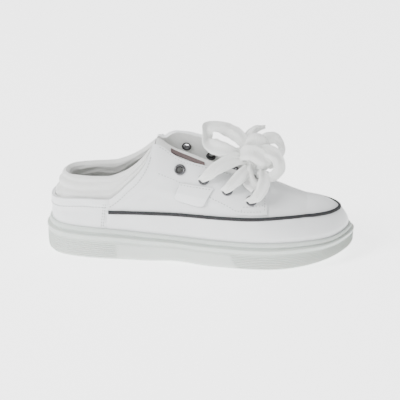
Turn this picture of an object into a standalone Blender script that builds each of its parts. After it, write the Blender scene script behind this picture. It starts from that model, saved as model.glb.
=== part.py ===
"""A low lace-up casual shoe for the right foot, standing empty on its sole.

Metres. +X points to the toe, -Y is the lateral side and +Z is up. The origin is on the
floor under the middle of the sole. Every form comes from two things: the closed plan
outline of the sole, and the last, a surface whose sections rise from the sole's rim to
a spine along the top of the foot.
"""

import math

import bpy
import numpy as np
from mathutils import Vector

# Driving sizes
SOLE_LENGTH = 0.265
BALL_WIDTH = 0.098
INSTEP_HEIGHT = 0.106
SOLE_HEIGHT = 0.028
TOE_SPRING = 0.009
ARCH_RISE = 0.0015
GAP = 0.0003

# Cup sole
BEAD_INSET = 0.0020
RIM_WALL = 0.0026
CUP_DEPTH = 0.0075
BORDER_WIDTH = 0.008
GROOVE_DEPTH = 0.0016
RIB_DEPTH = 0.0005
INSOLE_THICKNESS = 0.0045

# Upper
UPPER_WALL = 0.002
COUNTER_STEP = 0.0008
HEEL_FAN = 0.036
TOE_FAN = 0.040
THROAT_HALF_WIDTH = 0.015
EYESTAY_THICKNESS = 0.0012
OVERLAY_GAP = 0.0006
PIPING_WIDTH = 0.0032
PIPING_HEIGHT = 0.0018
TAG_THICKNESS = 0.0009
TAG_SEAT = 0.0005

# Collar, tongue and label
COLLAR_TUCK = 0.013
COLLAR_CLEARANCE = 0.0008
COLLAR_LINING = 0.0025
COLLAR_PAD = 0.0070
COLLAR_LEAN = 0.0050
COLLAR_ROUNDING = 0.0012
TONGUE_THICKNESS = 0.0030
TONGUE_CLEARANCE = 0.0022
TONGUE_SAG = 0.0015
LABEL_THICKNESS = 0.0006
LABEL_SEAT = 0.0006

# Eyelets and laces
EYELET_RADIUS = 0.0049
EYELET_BORE = 0.0028
EYELET_BARREL = 0.0034
FLANGE_THICKNESS = 0.0007
FLANGE_SEAT = 0.0005
LACE_WIDTH = 0.0090
LACE_THICKNESS = 0.0024
LACE_SEAT = 0.0005
LACE_CROWN = 0.0006
KNOT_SEAT = 0.0010
BOW_RADIUS = 0.0026
KNOT_RADIUS = 0.0078
KNOT_DEPTH = 0.80
KNOT_FLATNESS = 0.75
KNOT_TILT = 0.12
KNOT_CLEARANCE = 0.0009
# The knot's middle stands behind the last bar's, a share of the sole's length
KNOT_BACK = 0.012

# Mesh counts
STATIONS = 38
WALL_ROWS = 9
EYELET_SIDES = 12


def table(columns, *rows):
    """A table with named columns, from one tuple for each row."""
    return {name: np.array(values) for name, values in zip(columns.split(), zip(*rows))}


# Plan outline, from the heel's end along the lateral side to the toe and back along the
# medial side: shares of the sole's length and of the ball's width
OUTLINE = table(
    "along across",
    (0.000, 0.000),
    (0.014, -0.170),
    (0.060, -0.300),
    (0.160, -0.368),
    (0.300, -0.380),
    (0.440, -0.410),
    (0.580, -0.475),
    (0.700, -0.505),
    (0.810, -0.465),
    (0.900, -0.355),
    (0.962, -0.190),
    (0.996, 0.020),
    (0.990, 0.190),
    (0.945, 0.345),
    (0.860, 0.455),
    (0.750, 0.495),
    (0.630, 0.455),
    (0.500, 0.385),
    (0.370, 0.352),
    (0.230, 0.360),
    (0.130, 0.352),
    (0.055, 0.290),
    (0.013, 0.165),
)

# The last along the shoe: height of its spine as a share of the instep's, and how full
# its section is, where 2 is an ellipse and more is squarer
SPINE = table(
    "along height fullness",
    (0.00, 0.860, 3.6),
    (0.14, 0.880, 3.5),
    (0.25, 0.940, 2.9),
    (0.36, 1.000, 2.15),
    (0.43, 0.915, 2.0),
    (0.51, 0.840, 2.0),
    (0.59, 0.760, 2.0),
    (0.67, 0.670, 2.0),
    (0.73, 0.605, 1.90),
    (0.80, 0.540, 1.80),
    (0.88, 0.475, 1.75),
    (1.00, 0.430, 1.80),
)

# Edge of the outer leather around the heel and up to the flap, as a share of the instep
TOPLINE = table(
    "along height",
    (0.000, 0.445),
    (0.060, 0.475),
    (0.140, 0.500),
    (0.215, 0.505),
    (0.240, 0.545),
    (0.275, 0.630),
    (0.310, 0.715),
    (0.340, 0.830),
    (0.352, 0.920),
    (0.362, 1.100),
    (1.000, 1.100),
)

# Half width of the throat, as a share of its widest
THROAT = table(
    "along half",
    (0.00, 0.88),
    (0.37, 0.88),
    (0.46, 1.00),
    (0.58, 0.92),
    (0.66, 0.75),
    (0.70, 0.55),
    (0.72, 0.30),
    (0.73, 0.00),
    (1.00, 0.00),
)

# Top of the soft collar, as a share of the instep, and how far it leans in
COLLAR = table(
    "along top lean",
    (0.000, 0.672, 1.00),
    (0.130, 0.680, 0.75),
    (0.210, 0.690, 0.50),
    (0.260, 0.735, 0.30),
    (0.300, 0.800, 0.15),
    (0.330, 0.875, 0.05),
    (0.350, 0.935, 0.00),
)

# Collar across its wall, from its tucked edge to its rolled top: share of its height
# and share of the padding that its thickness reaches
COLLAR_SECTION = table(
    "up pad",
    (0.00, 0.00),
    (0.25, 0.05),
    (0.45, 0.30),
    (0.62, 0.75),
    (0.78, 1.00),
    (0.92, 0.75),
    (1.00, 0.05),
)

# Height of the sole's side and of the floor's clearance under it
SOLE_SIDE = table(
    "along top",
    (0.00, 1.030),
    (0.10, 1.000),
    (0.20, 0.985),
    (0.35, 0.900),
    (0.50, 0.850),
    (0.70, 0.855),
    (0.85, 0.870),
    (0.93, 0.850),
    (1.00, 0.930),
)

# Side of the sole from the ground up: share of its height, inset from the outline, and
# the share of the rib's depth taken there
SOLE_PROFILE = table(
    "up inset rib",
    (0.00, 0.0038, 0.0),
    (0.08, 0.0016, 0.0),
    (0.20, 0.0009, 1.0),
    (0.30, 0.0008, 0.0),
    (0.40, 0.0007, 1.0),
    (0.52, 0.0006, 0.0),
    (0.62, 0.0014, 0.0),
    (0.68, 0.0002, 0.0),
    (0.77, 0.0000, 0.0),
    (0.82, 0.0032, 0.0),
    (0.88, 0.0022, 0.0),
    (0.96, 0.0021, 0.0),
)

# Lower edge of the eyestay and height of the piping, as shares of the instep
# How far the medial flap stands up at its throat edge, a share of the instep's height
FLAP_LIFT = table(
    "along rise",
    (0.000, 0.000),
    (0.380, 0.000),
    (0.400, 0.062),
    (0.425, 0.122),
    (0.470, 0.152),
    (0.520, 0.152),
    (0.580, 0.110),
    (0.640, 0.045),
    (0.690, 0.000),
    (1.000, 0.000),
)
# Where that flap starts to stand, a share of the height between the rim and the spine
FLAP_HINGE = 0.50

EYESTAY_EDGE = table(
    "along height",
    (0.340, 0.745),
    (0.440, 0.650),
    (0.538, 0.552),
    (0.600, 0.490),
    (0.645, 0.445),
    (0.740, 0.440),
)
PIPING = table(
    "along height",
    (0.20, 0.398),
    (0.45, 0.410),
    (0.75, 0.412),
    (0.90, 0.400),
    (1.00, 0.385),
)

# Grooves across the tread, as shares of the sole's length
GROOVES = (0.10, 0.26, 0.56, 0.64, 0.72, 0.80, 0.88)

EYELETS = table(
    "along height",
    (0.447, 0.755),
    (0.526, 0.688),
    (0.603, 0.613),
    (0.681, 0.538),
)
COUNTER_EDGE = 0.213
FLAP_BACK = 0.362
EYESTAY_FRONT = 0.738
TONGUE_BACK = 0.365
TONGUE_FRONT = 0.755
TONGUE_CREST = 0.66
TONGUE_SLOPE = 0.16
# The angle on the last at the tongue's two side edges
TONGUE_LIMIT = 0.62
LABEL_ALONG = (0.408, 0.530)
LABEL_ACROSS = (-0.36, -0.08)
TAG_CORNERS = table(
    "along height lift",
    (0.450, 0.660, 1.0),
    (0.427, 0.527, 0.0),
    (0.524, 0.478, 0.0),
    (0.560, 0.630, 1.0),
)
TAG_SKIRT = 0.45


def smooth(rows, column, at):
    """A column's value at a share of the length, on a cubic that never overshoots a row."""
    x = rows["along" if "along" in rows else "up"]
    y = rows[column]
    slope = np.diff(y) / np.diff(x)
    before, after = slope[:-1], slope[1:]
    same = before * after > 0
    inner = np.where(same, 2 * before * after / np.where(same, before + after, 1), 0)
    tangent = np.concatenate([slope[:1], inner, slope[-1:]])
    at = np.clip(np.asarray(at, float), x[0], x[-1])
    i = np.clip(np.searchsorted(x, at, side="right") - 1, 0, len(x) - 2)
    step = x[i + 1] - x[i]
    t = (at - x[i]) / step
    return (
        (1 + 2 * t) * (1 - t) ** 2 * y[i]
        + t * (1 - t) ** 2 * step * tangent[i]
        + t * t * (3 - 2 * t) * y[i + 1]
        + t * t * (t - 1) * step * tangent[i + 1]
    )


def unit(vectors):
    length = np.linalg.norm(vectors, axis=-1, keepdims=True)
    return vectors / np.maximum(length, 1e-12)


def curve_between(a, b, c, d, t):
    """Points from b to c on the smooth curve through four points, t running 0 to 1."""
    bend = (2 * a - 5 * b + 4 * c - d) * t**2 + (3 * b - a - 3 * c + d) * t**3
    return 0.5 * (2 * b + (c - a) * t + bend)


class Outline:
    """The sole's plan. A turn runs 0 to 1 on the lateral side, heel to toe, and on to 2."""

    def __init__(self):
        points = np.column_stack([OUTLINE["along"], OUTLINE["across"]])
        loop = self.rounded(points)
        low, high = loop.min(0), loop.max(0)
        size = np.array([SOLE_LENGTH, BALL_WIDTH])
        loop = (loop - (low + high) / 2) / (high - low) * size
        loop = np.roll(loop, -int(loop[:, 0].argmin()), axis=0)
        loop = np.vstack([loop, loop[:1]])
        run = np.concatenate([[0], np.cumsum(np.linalg.norm(np.diff(loop, axis=0), axis=1))])
        toe = int(loop[:, 0].argmax())
        lateral = run[: toe + 1] / run[toe]
        medial = 1 + (run[toe + 1 :] - run[toe]) / (run[-1] - run[toe])
        self.turn = np.concatenate([lateral, medial])
        self.loop = loop

    @staticmethod
    def rounded(points, steps=40):
        """A closed Catmull-Rom curve through the points."""
        t = np.linspace(0, 1, steps, endpoint=False)[:, None]
        parts = []
        for i in range(len(points)):
            four = [points[(i + k) % len(points)] for k in (-1, 0, 1, 2)]
            parts.append(curve_between(*four, t))
        return np.vstack(parts)

    def point(self, turn, inset=0.0):
        turn = np.mod(turn, 2.0)
        there = self.raw(turn)
        ahead = self.raw(np.mod(turn + 0.01, 2.0)) - self.raw(np.mod(turn - 0.01, 2.0))
        inward = unit(np.stack([-ahead[..., 1], ahead[..., 0]], axis=-1))
        return there + inward * np.asarray(inset)[..., None]

    def raw(self, turn):
        return np.stack([np.interp(turn, self.turn, self.loop[:, k]) for k in (0, 1)], axis=-1)


OUT = Outline()


def share_of(x):
    return x / SOLE_LENGTH + 0.5


def ground(share):
    """Height of the tread: flat at heel and ball, a low arch between, and the toe's spring."""
    spring = TOE_SPRING * np.clip((share - 0.72) / 0.28, 0, 1) ** 2
    arch = ARCH_RISE * np.sin(np.pi * np.clip((share - 0.33) / 0.21, 0, 1)) ** 2
    return spring + arch


def rim(share):
    """Height of the sole's upper edge."""
    return SOLE_HEIGHT * smooth(SOLE_SIDE, "top", share)


def cup_floor(share):
    return rim(share) - CUP_DEPTH


FEATHER = BEAD_INSET + RIM_WALL + GAP
TURNS = np.linspace(0, 1, 801)
FEATHER_MIDS = (OUT.point(TURNS, FEATHER) + OUT.point(2 - TURNS, FEATHER)) / 2


# Angle of the upper's lowest free row, just over the sole's rim
RIM_ANGLE = 0.012


class Last:
    """The shoe's outer surface: sections that rise from the rim to the spine.

    Flap is 1 with the medial flap standing up and 0 for the plain form under it.
    """

    def __init__(self, flap):
        self.flap = flap

    def frame(self, turn):
        base = OUT.point(turn, FEATHER)
        side = np.where(np.mod(turn, 2) > 1, 2 - np.mod(turn, 2), np.mod(turn, 2))
        mid_x = np.interp(side, TURNS, FEATHER_MIDS[:, 0])
        low = -SOLE_LENGTH / 2 + HEEL_FAN
        high = SOLE_LENGTH / 2 - TOE_FAN
        spine_x = np.clip(mid_x, low, high)
        spine_y = np.interp(spine_x, FEATHER_MIDS[:, 0], FEATHER_MIDS[:, 1])
        share = share_of(base[..., 0])
        foot = rim(share)
        top = INSTEP_HEIGHT * smooth(SPINE, "height", share_of(spine_x))
        full = smooth(SPINE, "fullness", share)
        return base, np.stack([spine_x, spine_y], axis=-1), foot, top, full

    def point(self, turn, angle, depth=0.0):
        """A point of the surface, moved in by a depth. The angle runs 0 at the rim to pi/2."""
        turn, angle, depth = np.broadcast_arrays(
            np.asarray(turn, float), np.asarray(angle, float), np.asarray(depth, float)
        )
        here = self.raw(turn, angle)
        return here - self.normal(turn, angle) * depth[..., None]

    def raw(self, turn, angle):
        base, spine, foot, top, full = self.frame(turn)
        out = np.cos(angle) ** (2 / full)
        up = np.sin(angle) ** (2 / full)
        plan = spine + (base - spine) * out[..., None]
        height = foot + (top - foot) * up + self.stand(turn, up)[0]
        return np.concatenate([plan, height[..., None]], axis=-1)

    def stand(self, turn, up):
        """How far the medial flap stands up at a share of the rise, and its slope there."""
        base, spine, foot, top, full = self.frame(turn)
        middle = share_of(spine[..., 0])
        rise = self.flap * INSTEP_HEIGHT * smooth(FLAP_LIFT, "rise", middle)
        rise = np.where(np.mod(turn, 2) > 1, rise, 0)
        reach = np.maximum(np.abs(base[..., 1] - spine[..., 1]), 1e-6)
        half = THROAT_HALF_WIDTH * smooth(THROAT, "half", middle)
        edge = (1 - np.clip(half / reach, 0, 1) ** full) ** (1 / full)
        span = np.maximum(edge, FLAP_HINGE + 0.1) - FLAP_HINGE
        part = np.clip((up - FLAP_HINGE) / span, 0, 1)
        slope = np.where(part < 1, 2 * rise * part / span, 0)
        return rise * part * part, slope

    def normal(self, turn, angle):
        tangent, rise = self.tangents(turn, angle)
        return unit(np.cross(tangent, rise))

    def tangents(self, turn, angle):
        safe = np.clip(angle, 0.02, 1.45)
        along = self.raw(turn + 0.004, safe) - self.raw(turn - 0.004, safe)
        base, spine, foot, top, full = self.frame(turn)
        reach = base - spine
        width = np.linalg.norm(reach, axis=-1)
        out = np.cos(safe) ** (2 / full)
        up = np.sin(safe) ** (2 / full)
        run = -(up ** (full - 1)) / (top - foot)
        climb = out ** (full - 1) / width * (1 + self.stand(turn, up)[1] / (top - foot))
        rise = np.concatenate([unit(reach) * run[..., None], climb[..., None]], axis=-1)
        return unit(along), unit(rise)

    def angle_at_height(self, turn, height):
        base, spine, foot, top, full = self.frame(turn)
        up = np.clip((height - foot) / (top - foot), 0, 1)
        return np.arcsin(up ** (full / 2))

    def angle_at_width(self, turn, half):
        base, spine, foot, top, full = self.frame(turn)
        reach = np.abs(base[..., 1] - spine[..., 1])
        out = np.clip(half / np.maximum(reach, 1e-6), 0, 1)
        return np.arccos(out ** (full / 2))

    def turn_at(self, share, side):
        """The turn whose rim point lies at a share of the length, on side -1 or +1."""
        turns = TURNS if side < 0 else 2 - TURNS
        return np.interp(share, share_of(OUT.point(turns, FEATHER)[:, 0]), turns)

    def in_fan(self, turn):
        mid = np.interp(min(turn, 2 - turn), TURNS, FEATHER_MIDS[:, 0])
        return mid >= SOLE_LENGTH / 2 - TOE_FAN


LAST = Last(1)
FORM = Last(0)


def upper_edge(turn):
    """The angle at which the outer leather ends: topline, throat edge or spine."""
    share = share_of(OUT.point(turn, FEATHER)[..., 0])
    line = LAST.angle_at_height(turn, INSTEP_HEIGHT * smooth(TOPLINE, "height", share))
    side = np.minimum(turn, 2 - turn)
    middle = share_of(np.interp(side, TURNS, FEATHER_MIDS[:, 0]))
    throat = LAST.angle_at_width(turn, THROAT_HALF_WIDTH * smooth(THROAT, "half", middle))
    return np.where(share < COUNTER_EDGE, line, np.minimum(line, throat))


def turns_between(first, last):
    """The upper's own stations between two turns, with the two ends."""
    stations = np.arange(-STATIONS, 2 * STATIONS) / STATIONS
    inside = (stations > first + 0.004) & (stations < last - 0.004)
    return np.concatenate([[first], stations[inside], [last]])


def material(name, colour, roughness, metallic=0.0):
    made = bpy.data.materials.new(name)
    made.use_nodes = True
    shader = made.node_tree.nodes["Principled BSDF"]
    shader.inputs["Base Color"].default_value = (*colour, 1)
    shader.inputs["Roughness"].default_value = roughness
    shader.inputs["Metallic"].default_value = metallic
    return made


def add_object(name, points, faces, skin):
    mesh = bpy.data.meshes.new(name)
    mesh.from_pydata([tuple(p) for p in points], [], faces)
    mesh.materials.append(skin)
    mesh.shade_smooth()
    mesh.set_sharp_from_angle(angle=math.radians(40))
    made = bpy.data.objects.new(name, mesh)
    bpy.context.scene.collection.objects.link(made)
    return made


def plate(name, outer, inner, skin):
    """A closed solid between two grids of points, each with columns and rows."""
    columns, rows = outer.shape[:2]
    points = np.concatenate([outer.reshape(-1, 3), inner.reshape(-1, 3)])
    half = columns * rows

    def at(c, r, side):
        return side * half + c * rows + r

    faces = []
    for c in range(columns - 1):
        for r in range(rows - 1):
            faces.append((at(c, r, 0), at(c + 1, r, 0), at(c + 1, r + 1, 0), at(c, r + 1, 0)))
            faces.append((at(c, r, 1), at(c, r + 1, 1), at(c + 1, r + 1, 1), at(c + 1, r, 1)))
        for r, flip in ((0, False), (rows - 1, True)):
            edge = (at(c, r, 0), at(c, r, 1), at(c + 1, r, 1), at(c + 1, r, 0))
            faces.append(edge[::-1] if flip else edge)
    for r in range(rows - 1):
        for c, flip in ((0, False), (columns - 1, True)):
            edge = (at(c, r, 0), at(c, r + 1, 0), at(c, r + 1, 1), at(c, r, 1))
            faces.append(edge[::-1] if flip else edge)
    return add_object(name, points, faces, skin)


def ring_solid(name, rings, low_cap, high_cap, across, skin):
    """A closed solid of stacked rings around the outline, capped by strips across it.

    A cap function gives the height of the strip's inner points from their share and spot.
    """
    count = 2 * STATIONS
    points = [tuple(p) for ring in rings for p in ring]
    faces = []
    for k in range(len(rings) - 1):
        for c in range(count):
            n = (c + 1) % count
            faces.append((k * count + c, k * count + n, (k + 1) * count + n, (k + 1) * count + c))
    for ring_index, height, flip in ((0, low_cap, True), (len(rings) - 1, high_cap, False)):
        ring = rings[ring_index]
        start = ring_index * count
        strips = [[start]]
        for c in range(1, STATIONS):
            a, b = ring[c], ring[count - c]
            strip = [start + c]
            for k in range(1, across):
                spot = a + (b - a) * k / across
                spot[2] = height(share_of(spot[0]), spot, c)
                points.append(tuple(spot))
                strip.append(len(points) - 1)
            strips.append(strip + [start + count - c])
        strips.append([start + STATIONS])
        for one, two in zip(strips, strips[1:]):
            for k in range(across):
                quad = [one[min(k, len(one) - 1)], two[min(k, len(two) - 1)]]
                quad += [two[min(k + 1, len(two) - 1)], one[min(k + 1, len(one) - 1)]]
                face = [v for i, v in enumerate(quad) if v != quad[i - 1]]
                faces.append(face[::-1] if flip else face)
    return add_object(name, points, faces, skin)


def ring_at(inset, height):
    """A ring around the outline at an inset, with its height from a function of the share."""
    turns = np.arange(2 * STATIONS) / STATIONS
    plan = OUT.point(turns, inset)
    return np.column_stack([plan, height(share_of(plan[:, 0]))])


def ribbed(share):
    """Where the side's ribs run: around the heel and the forefoot, not along the waist."""
    return np.clip((0.24 - share) / 0.02, 0, 1) + np.clip((share - 0.63) / 0.02, 0, 1)


def make_outsole(skin):
    rings = [ring_at(SOLE_PROFILE["inset"][0] + BORDER_WIDTH, ground)]
    turns = np.arange(2 * STATIONS) / STATIONS
    for up, inset, rib in zip(*(SOLE_PROFILE[c] for c in ("up", "inset", "rib"))):
        here = share_of(OUT.point(turns)[:, 0])
        depth = inset + rib * RIB_DEPTH * ribbed(here)
        rings.append(ring_at(depth, lambda s, up=up: ground(s) + (rim(s) - ground(s)) * up))
    rings.append(ring_at(BEAD_INSET + 0.0008, rim))
    rings.append(ring_at(BEAD_INSET + RIM_WALL, rim))
    rings.append(ring_at(BEAD_INSET + RIM_WALL, cup_floor))
    stations = share_of(OUT.point(np.arange(STATIONS + 1) / STATIONS)[:, 0])
    cut = {int(np.abs(stations - groove).argmin()) for groove in GROOVES}

    def tread(share, spot, station):
        return ground(share) + (GROOVE_DEPTH if station in cut else 0)

    return ring_solid("outsole", rings, tread, lambda s, spot, c: cup_floor(s), 6, skin)


def make_insole(skin):
    inset = FEATHER + UPPER_WALL + GAP
    low, high = GAP, GAP + INSOLE_THICKNESS
    rings = [
        ring_at(inset, lambda s: cup_floor(s) + low),
        ring_at(inset, lambda s: cup_floor(s) + high - 0.001),
        ring_at(inset + 0.001, lambda s: cup_floor(s) + high),
    ]
    return ring_solid(
        "insole",
        rings,
        lambda s, spot, c: cup_floor(s) + low,
        lambda s, spot, c: cup_floor(s) + high,
        4,
        skin,
    )


def make_upper(skin):
    """One hollow wall, open underneath and at collar and throat, closed over the vamp."""
    count = 2 * STATIONS
    turns = np.arange(count) / STATIONS
    edge = upper_edge(turns)
    closed = edge >= math.pi / 2 - 1e-6
    share = share_of(OUT.point(turns, FEATHER)[:, 0])
    proud = np.where(share < COUNTER_EDGE, COUNTER_STEP, 0)
    points, layers = [], []
    for depth in (-proud, np.full(count, UPPER_WALL)):
        grid = []
        tops = {}
        for c in range(count):
            column = []
            for r in range(WALL_ROWS + 1):
                if r == WALL_ROWS and closed[c]:
                    mate = min(c, count - c)
                    key = "pole" if LAST.in_fan(turns[c]) else f"pair {mate}"
                    tops.setdefault(key, []).append((c, turns[c]))
                    column.append(key)
                    continue
                inside = max(depth[c], 0)
                if r == 0:
                    plan = OUT.point(turns[c], FEATHER + inside)
                    points.append(np.array([*plan, cup_floor(share[c]) + GAP]))
                elif r == 1:
                    points.append(LAST.point(turns[c], RIM_ANGLE, inside))
                else:
                    angle = RIM_ANGLE + (edge[c] - RIM_ANGLE) * (r - 1) / (WALL_ROWS - 1)
                    points.append(LAST.point(turns[c], angle, depth[c]))
                column.append(len(points) - 1)
            grid.append(column)
        ids = {}
        for key, members in tops.items():
            spots = [LAST.point(turn, math.pi / 2, depth[c]) for c, turn in members]
            points.append(np.mean(spots, axis=0))
            ids[key] = len(points) - 1
        layers.append([[ids.get(v, v) if r == WALL_ROWS else v for r, v in enumerate(col)] for col in grid])
    outer, inner = layers
    faces = []
    for c in range(count):
        n = (c + 1) % count
        for r in range(WALL_ROWS):
            for grid, flip in ((outer, False), (inner, True)):
                quad = [grid[c][r], grid[n][r], grid[n][r + 1], grid[c][r + 1]]
                face = [v for i, v in enumerate(quad) if v != quad[i - 1]]
                faces.append(face[::-1] if flip else face)
        faces.append([inner[c][0], inner[n][0], outer[n][0], outer[c][0]])
        if not (closed[c] and closed[n]):
            faces.append([outer[c][-1], outer[n][-1], inner[n][-1], inner[c][-1]])
    return add_object("upper", points, faces, skin)


def make_collar(skin):
    """The soft band that stands inside the counter and runs up to both flaps."""
    start = LAST.turn_at(COLLAR["along"][-1], 1)
    end = LAST.turn_at(COLLAR["along"][-1], -1)
    turns = turns_between(start - 2, end)
    share = share_of(OUT.point(turns, FEATHER)[:, 0])
    top = INSTEP_HEIGHT * smooth(COLLAR, "top", share)
    line = INSTEP_HEIGHT * smooth(TOPLINE, "height", share)
    low = line - COLLAR_TUCK
    lean = COLLAR_LEAN * smooth(COLLAR, "lean", share)
    outer, inner = [], []
    for up, pad in zip(COLLAR_SECTION["up"], COLLAR_SECTION["pad"]):
        height = low + (top - low) * up
        angle = LAST.angle_at_height(turns, height)
        above = np.clip((height - line) / (top - line), 0, 1)
        face = UPPER_WALL + COLLAR_CLEARANCE + lean * above
        thick = COLLAR_LINING + (COLLAR_PAD - COLLAR_LINING) * pad
        rounding = COLLAR_ROUNDING * (up > 0.95)
        outer.append(LAST.point(turns, angle, face + rounding))
        inner.append(LAST.point(turns, angle, face + thick - rounding * 0.5))
    outer = np.stack(outer, axis=1)
    inner = np.stack(inner, axis=1)
    return plate("collar", outer, inner, skin)


def tongue_depth(share, angle):
    """The tongue's outer face: clear of the flaps, sagging between them toward the top."""
    between = np.clip((angle - TONGUE_LIMIT) / (math.pi / 2 - TONGUE_LIMIT), 0, 1)
    sag = TONGUE_SAG * np.clip((TONGUE_CREST - share) / TONGUE_SLOPE, 0, 1)
    return UPPER_WALL + TONGUE_CLEARANCE + sag * (0.35 + 0.65 * np.sqrt(between))


def tongue_point(share, across, lift):
    """A point of the tongue's face, lifted off it. Across runs -1 lateral to +1 medial."""
    turn = FORM.turn_at(share, -1 if across < 0 else 1)
    angle = TONGUE_LIMIT + (math.pi / 2 - TONGUE_LIMIT) * (1 - abs(across))
    return FORM.point(turn, angle, tongue_depth(share, angle) - lift)


def make_tongue(skin):
    shares = np.linspace(TONGUE_BACK, TONGUE_FRONT, 14)
    across = np.linspace(-1, 1, 11)
    outer = np.array([[tongue_point(s, a, 0) for a in across] for s in shares])
    inner = np.array([[tongue_point(s, a, -TONGUE_THICKNESS) for a in across] for s in shares])
    return plate("tongue", outer, inner, skin)


def make_label(skin):
    """The bare strip sewn on the tongue beside the lateral flap's edge."""
    shares = np.linspace(*LABEL_ALONG, 9)
    rows = np.linspace(*LABEL_ACROSS, 3)
    lift = LABEL_SEAT + LABEL_THICKNESS
    outer = np.array([[tongue_point(s, a, lift) for a in rows] for s in shares])
    inner = np.array([[tongue_point(s, a, LABEL_SEAT) for a in rows] for s in shares])
    return plate("tongue_label", outer, inner, skin)


def make_eyestay(name, side, skin):
    """The overlay that carries the eyelets, from the flap's back to the throat's front."""
    ends = LAST.turn_at(np.array([FLAP_BACK + 0.004, EYESTAY_FRONT - 0.006]), side)
    turns = turns_between(ends.min(), ends.max())
    shares = share_of(OUT.point(turns, FEATHER)[:, 0])
    top = upper_edge(turns)
    low = LAST.angle_at_height(turns, INSTEP_HEIGHT * smooth(EYESTAY_EDGE, "height", shares))
    outer, inner = [], []
    for r in np.linspace(0, 1, 5):
        angle = low + (top - 0.01 - low) * r
        outer.append(LAST.point(turns, angle, -OVERLAY_GAP - EYESTAY_THICKNESS))
        inner.append(LAST.point(turns, angle, -OVERLAY_GAP))
    return plate(name, np.stack(outer, axis=1), np.stack(inner, axis=1), skin)


def make_piping(skin):
    """The dark raised cord that edges the vamp, from one counter seam to the other."""
    start = LAST.turn_at(COUNTER_EDGE + 0.010, -1)
    end = LAST.turn_at(COUNTER_EDGE + 0.010, 1)
    turns = np.linspace(start, end, 56)
    share = share_of(OUT.point(turns, FEATHER)[:, 0])
    angle = LAST.angle_at_height(turns, INSTEP_HEIGHT * smooth(PIPING, "height", share))
    centre = LAST.point(turns, angle)
    normal = LAST.normal(turns, angle)
    rise = LAST.tangents(turns, angle)[1]
    steps = np.radians([0, 36, 72, 108, 144, 180])
    section = [(math.cos(a) * PIPING_WIDTH / 2, GAP + math.sin(a) * PIPING_HEIGHT) for a in steps]
    points = [centre[i] + rise[i] * s + normal[i] * lift for i in range(len(turns)) for s, lift in section]
    sides = len(section)
    faces = []
    for i in range(len(turns) - 1):
        for k in range(sides):
            n = (k + 1) % sides
            faces.append((i * sides + k, i * sides + n, (i + 1) * sides + n, (i + 1) * sides + k))
    faces.append(tuple(reversed(range(sides))))
    faces.append(tuple(range((len(turns) - 1) * sides, len(turns) * sides)))
    return add_object("piping", points, faces, skin)


def make_tag(skin):
    """The bare loop tag on the lateral side, over the eyestay's edge and the quarter."""
    corners = list(zip(*(TAG_CORNERS[c] for c in ("along", "height", "lift"))))
    top_left, low_left, low_right, top_right = corners
    outer, inner = [], []
    for u in np.linspace(0, 1, 6):
        high = np.array(top_left) + (np.array(top_right) - np.array(top_left)) * u
        low = np.array(low_left) + (np.array(low_right) - np.array(low_left)) * u
        out_column, in_column = [], []
        for v in np.linspace(0, 1, 6):
            share, height, lift = low + (high - low) * v
            turn = LAST.turn_at(share, -1)
            angle = LAST.angle_at_height(turn, INSTEP_HEIGHT * height)
            over = np.clip(lift / TAG_SKIRT, 0, 1)
            seat = OVERLAY_GAP + (EYESTAY_THICKNESS + TAG_SEAT) * over
            out_column.append(LAST.point(turn, angle, -seat - TAG_THICKNESS))
            in_column.append(LAST.point(turn, angle, -seat))
        outer.append(out_column)
        inner.append(in_column)
    return plate("side_tag", np.array(outer), np.array(inner), skin)


def eyelet_spot(index, side):
    """Centre on the last's surface and outward normal of one eyelet."""
    turn = LAST.turn_at(EYELETS["along"][index], side)
    angle = LAST.angle_at_height(turn, INSTEP_HEIGHT * EYELETS["height"][index])
    return Vector(LAST.point(turn, angle)), Vector(LAST.normal(turn, angle))


def make_eyelet(name, index, side, skin):
    """A turned grommet: a flange outside, a barrel through the wall and a flange inside."""
    face = OVERLAY_GAP + EYESTAY_THICKNESS + FLANGE_SEAT
    back = -UPPER_WALL - FLANGE_SEAT - 0.0004
    section = [
        (EYELET_BORE, back - FLANGE_THICKNESS),
        (EYELET_RADIUS, back - FLANGE_THICKNESS),
        (EYELET_RADIUS, back),
        (EYELET_BARREL, back),
        (EYELET_BARREL, face),
        (EYELET_RADIUS, face),
        (EYELET_RADIUS - 0.0006, face + FLANGE_THICKNESS),
        (EYELET_BORE, face + FLANGE_THICKNESS),
    ]
    points = []
    for k in range(EYELET_SIDES):
        turn = 2 * math.pi * k / EYELET_SIDES
        points += [(r * math.cos(turn), r * math.sin(turn), z) for r, z in section]
    size = len(section)
    faces = []
    for k in range(EYELET_SIDES):
        m = (k + 1) % EYELET_SIDES
        for i in range(size):
            n = (i + 1) % size
            faces.append((k * size + i, m * size + i, m * size + n, k * size + n))
    made = add_object(name, points, faces, skin)
    spot, normal = eyelet_spot(index, side)
    made.location = spot
    made.rotation_mode = "QUATERNION"
    made.rotation_quaternion = normal.to_track_quat("Z", "Y")
    return made


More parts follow.
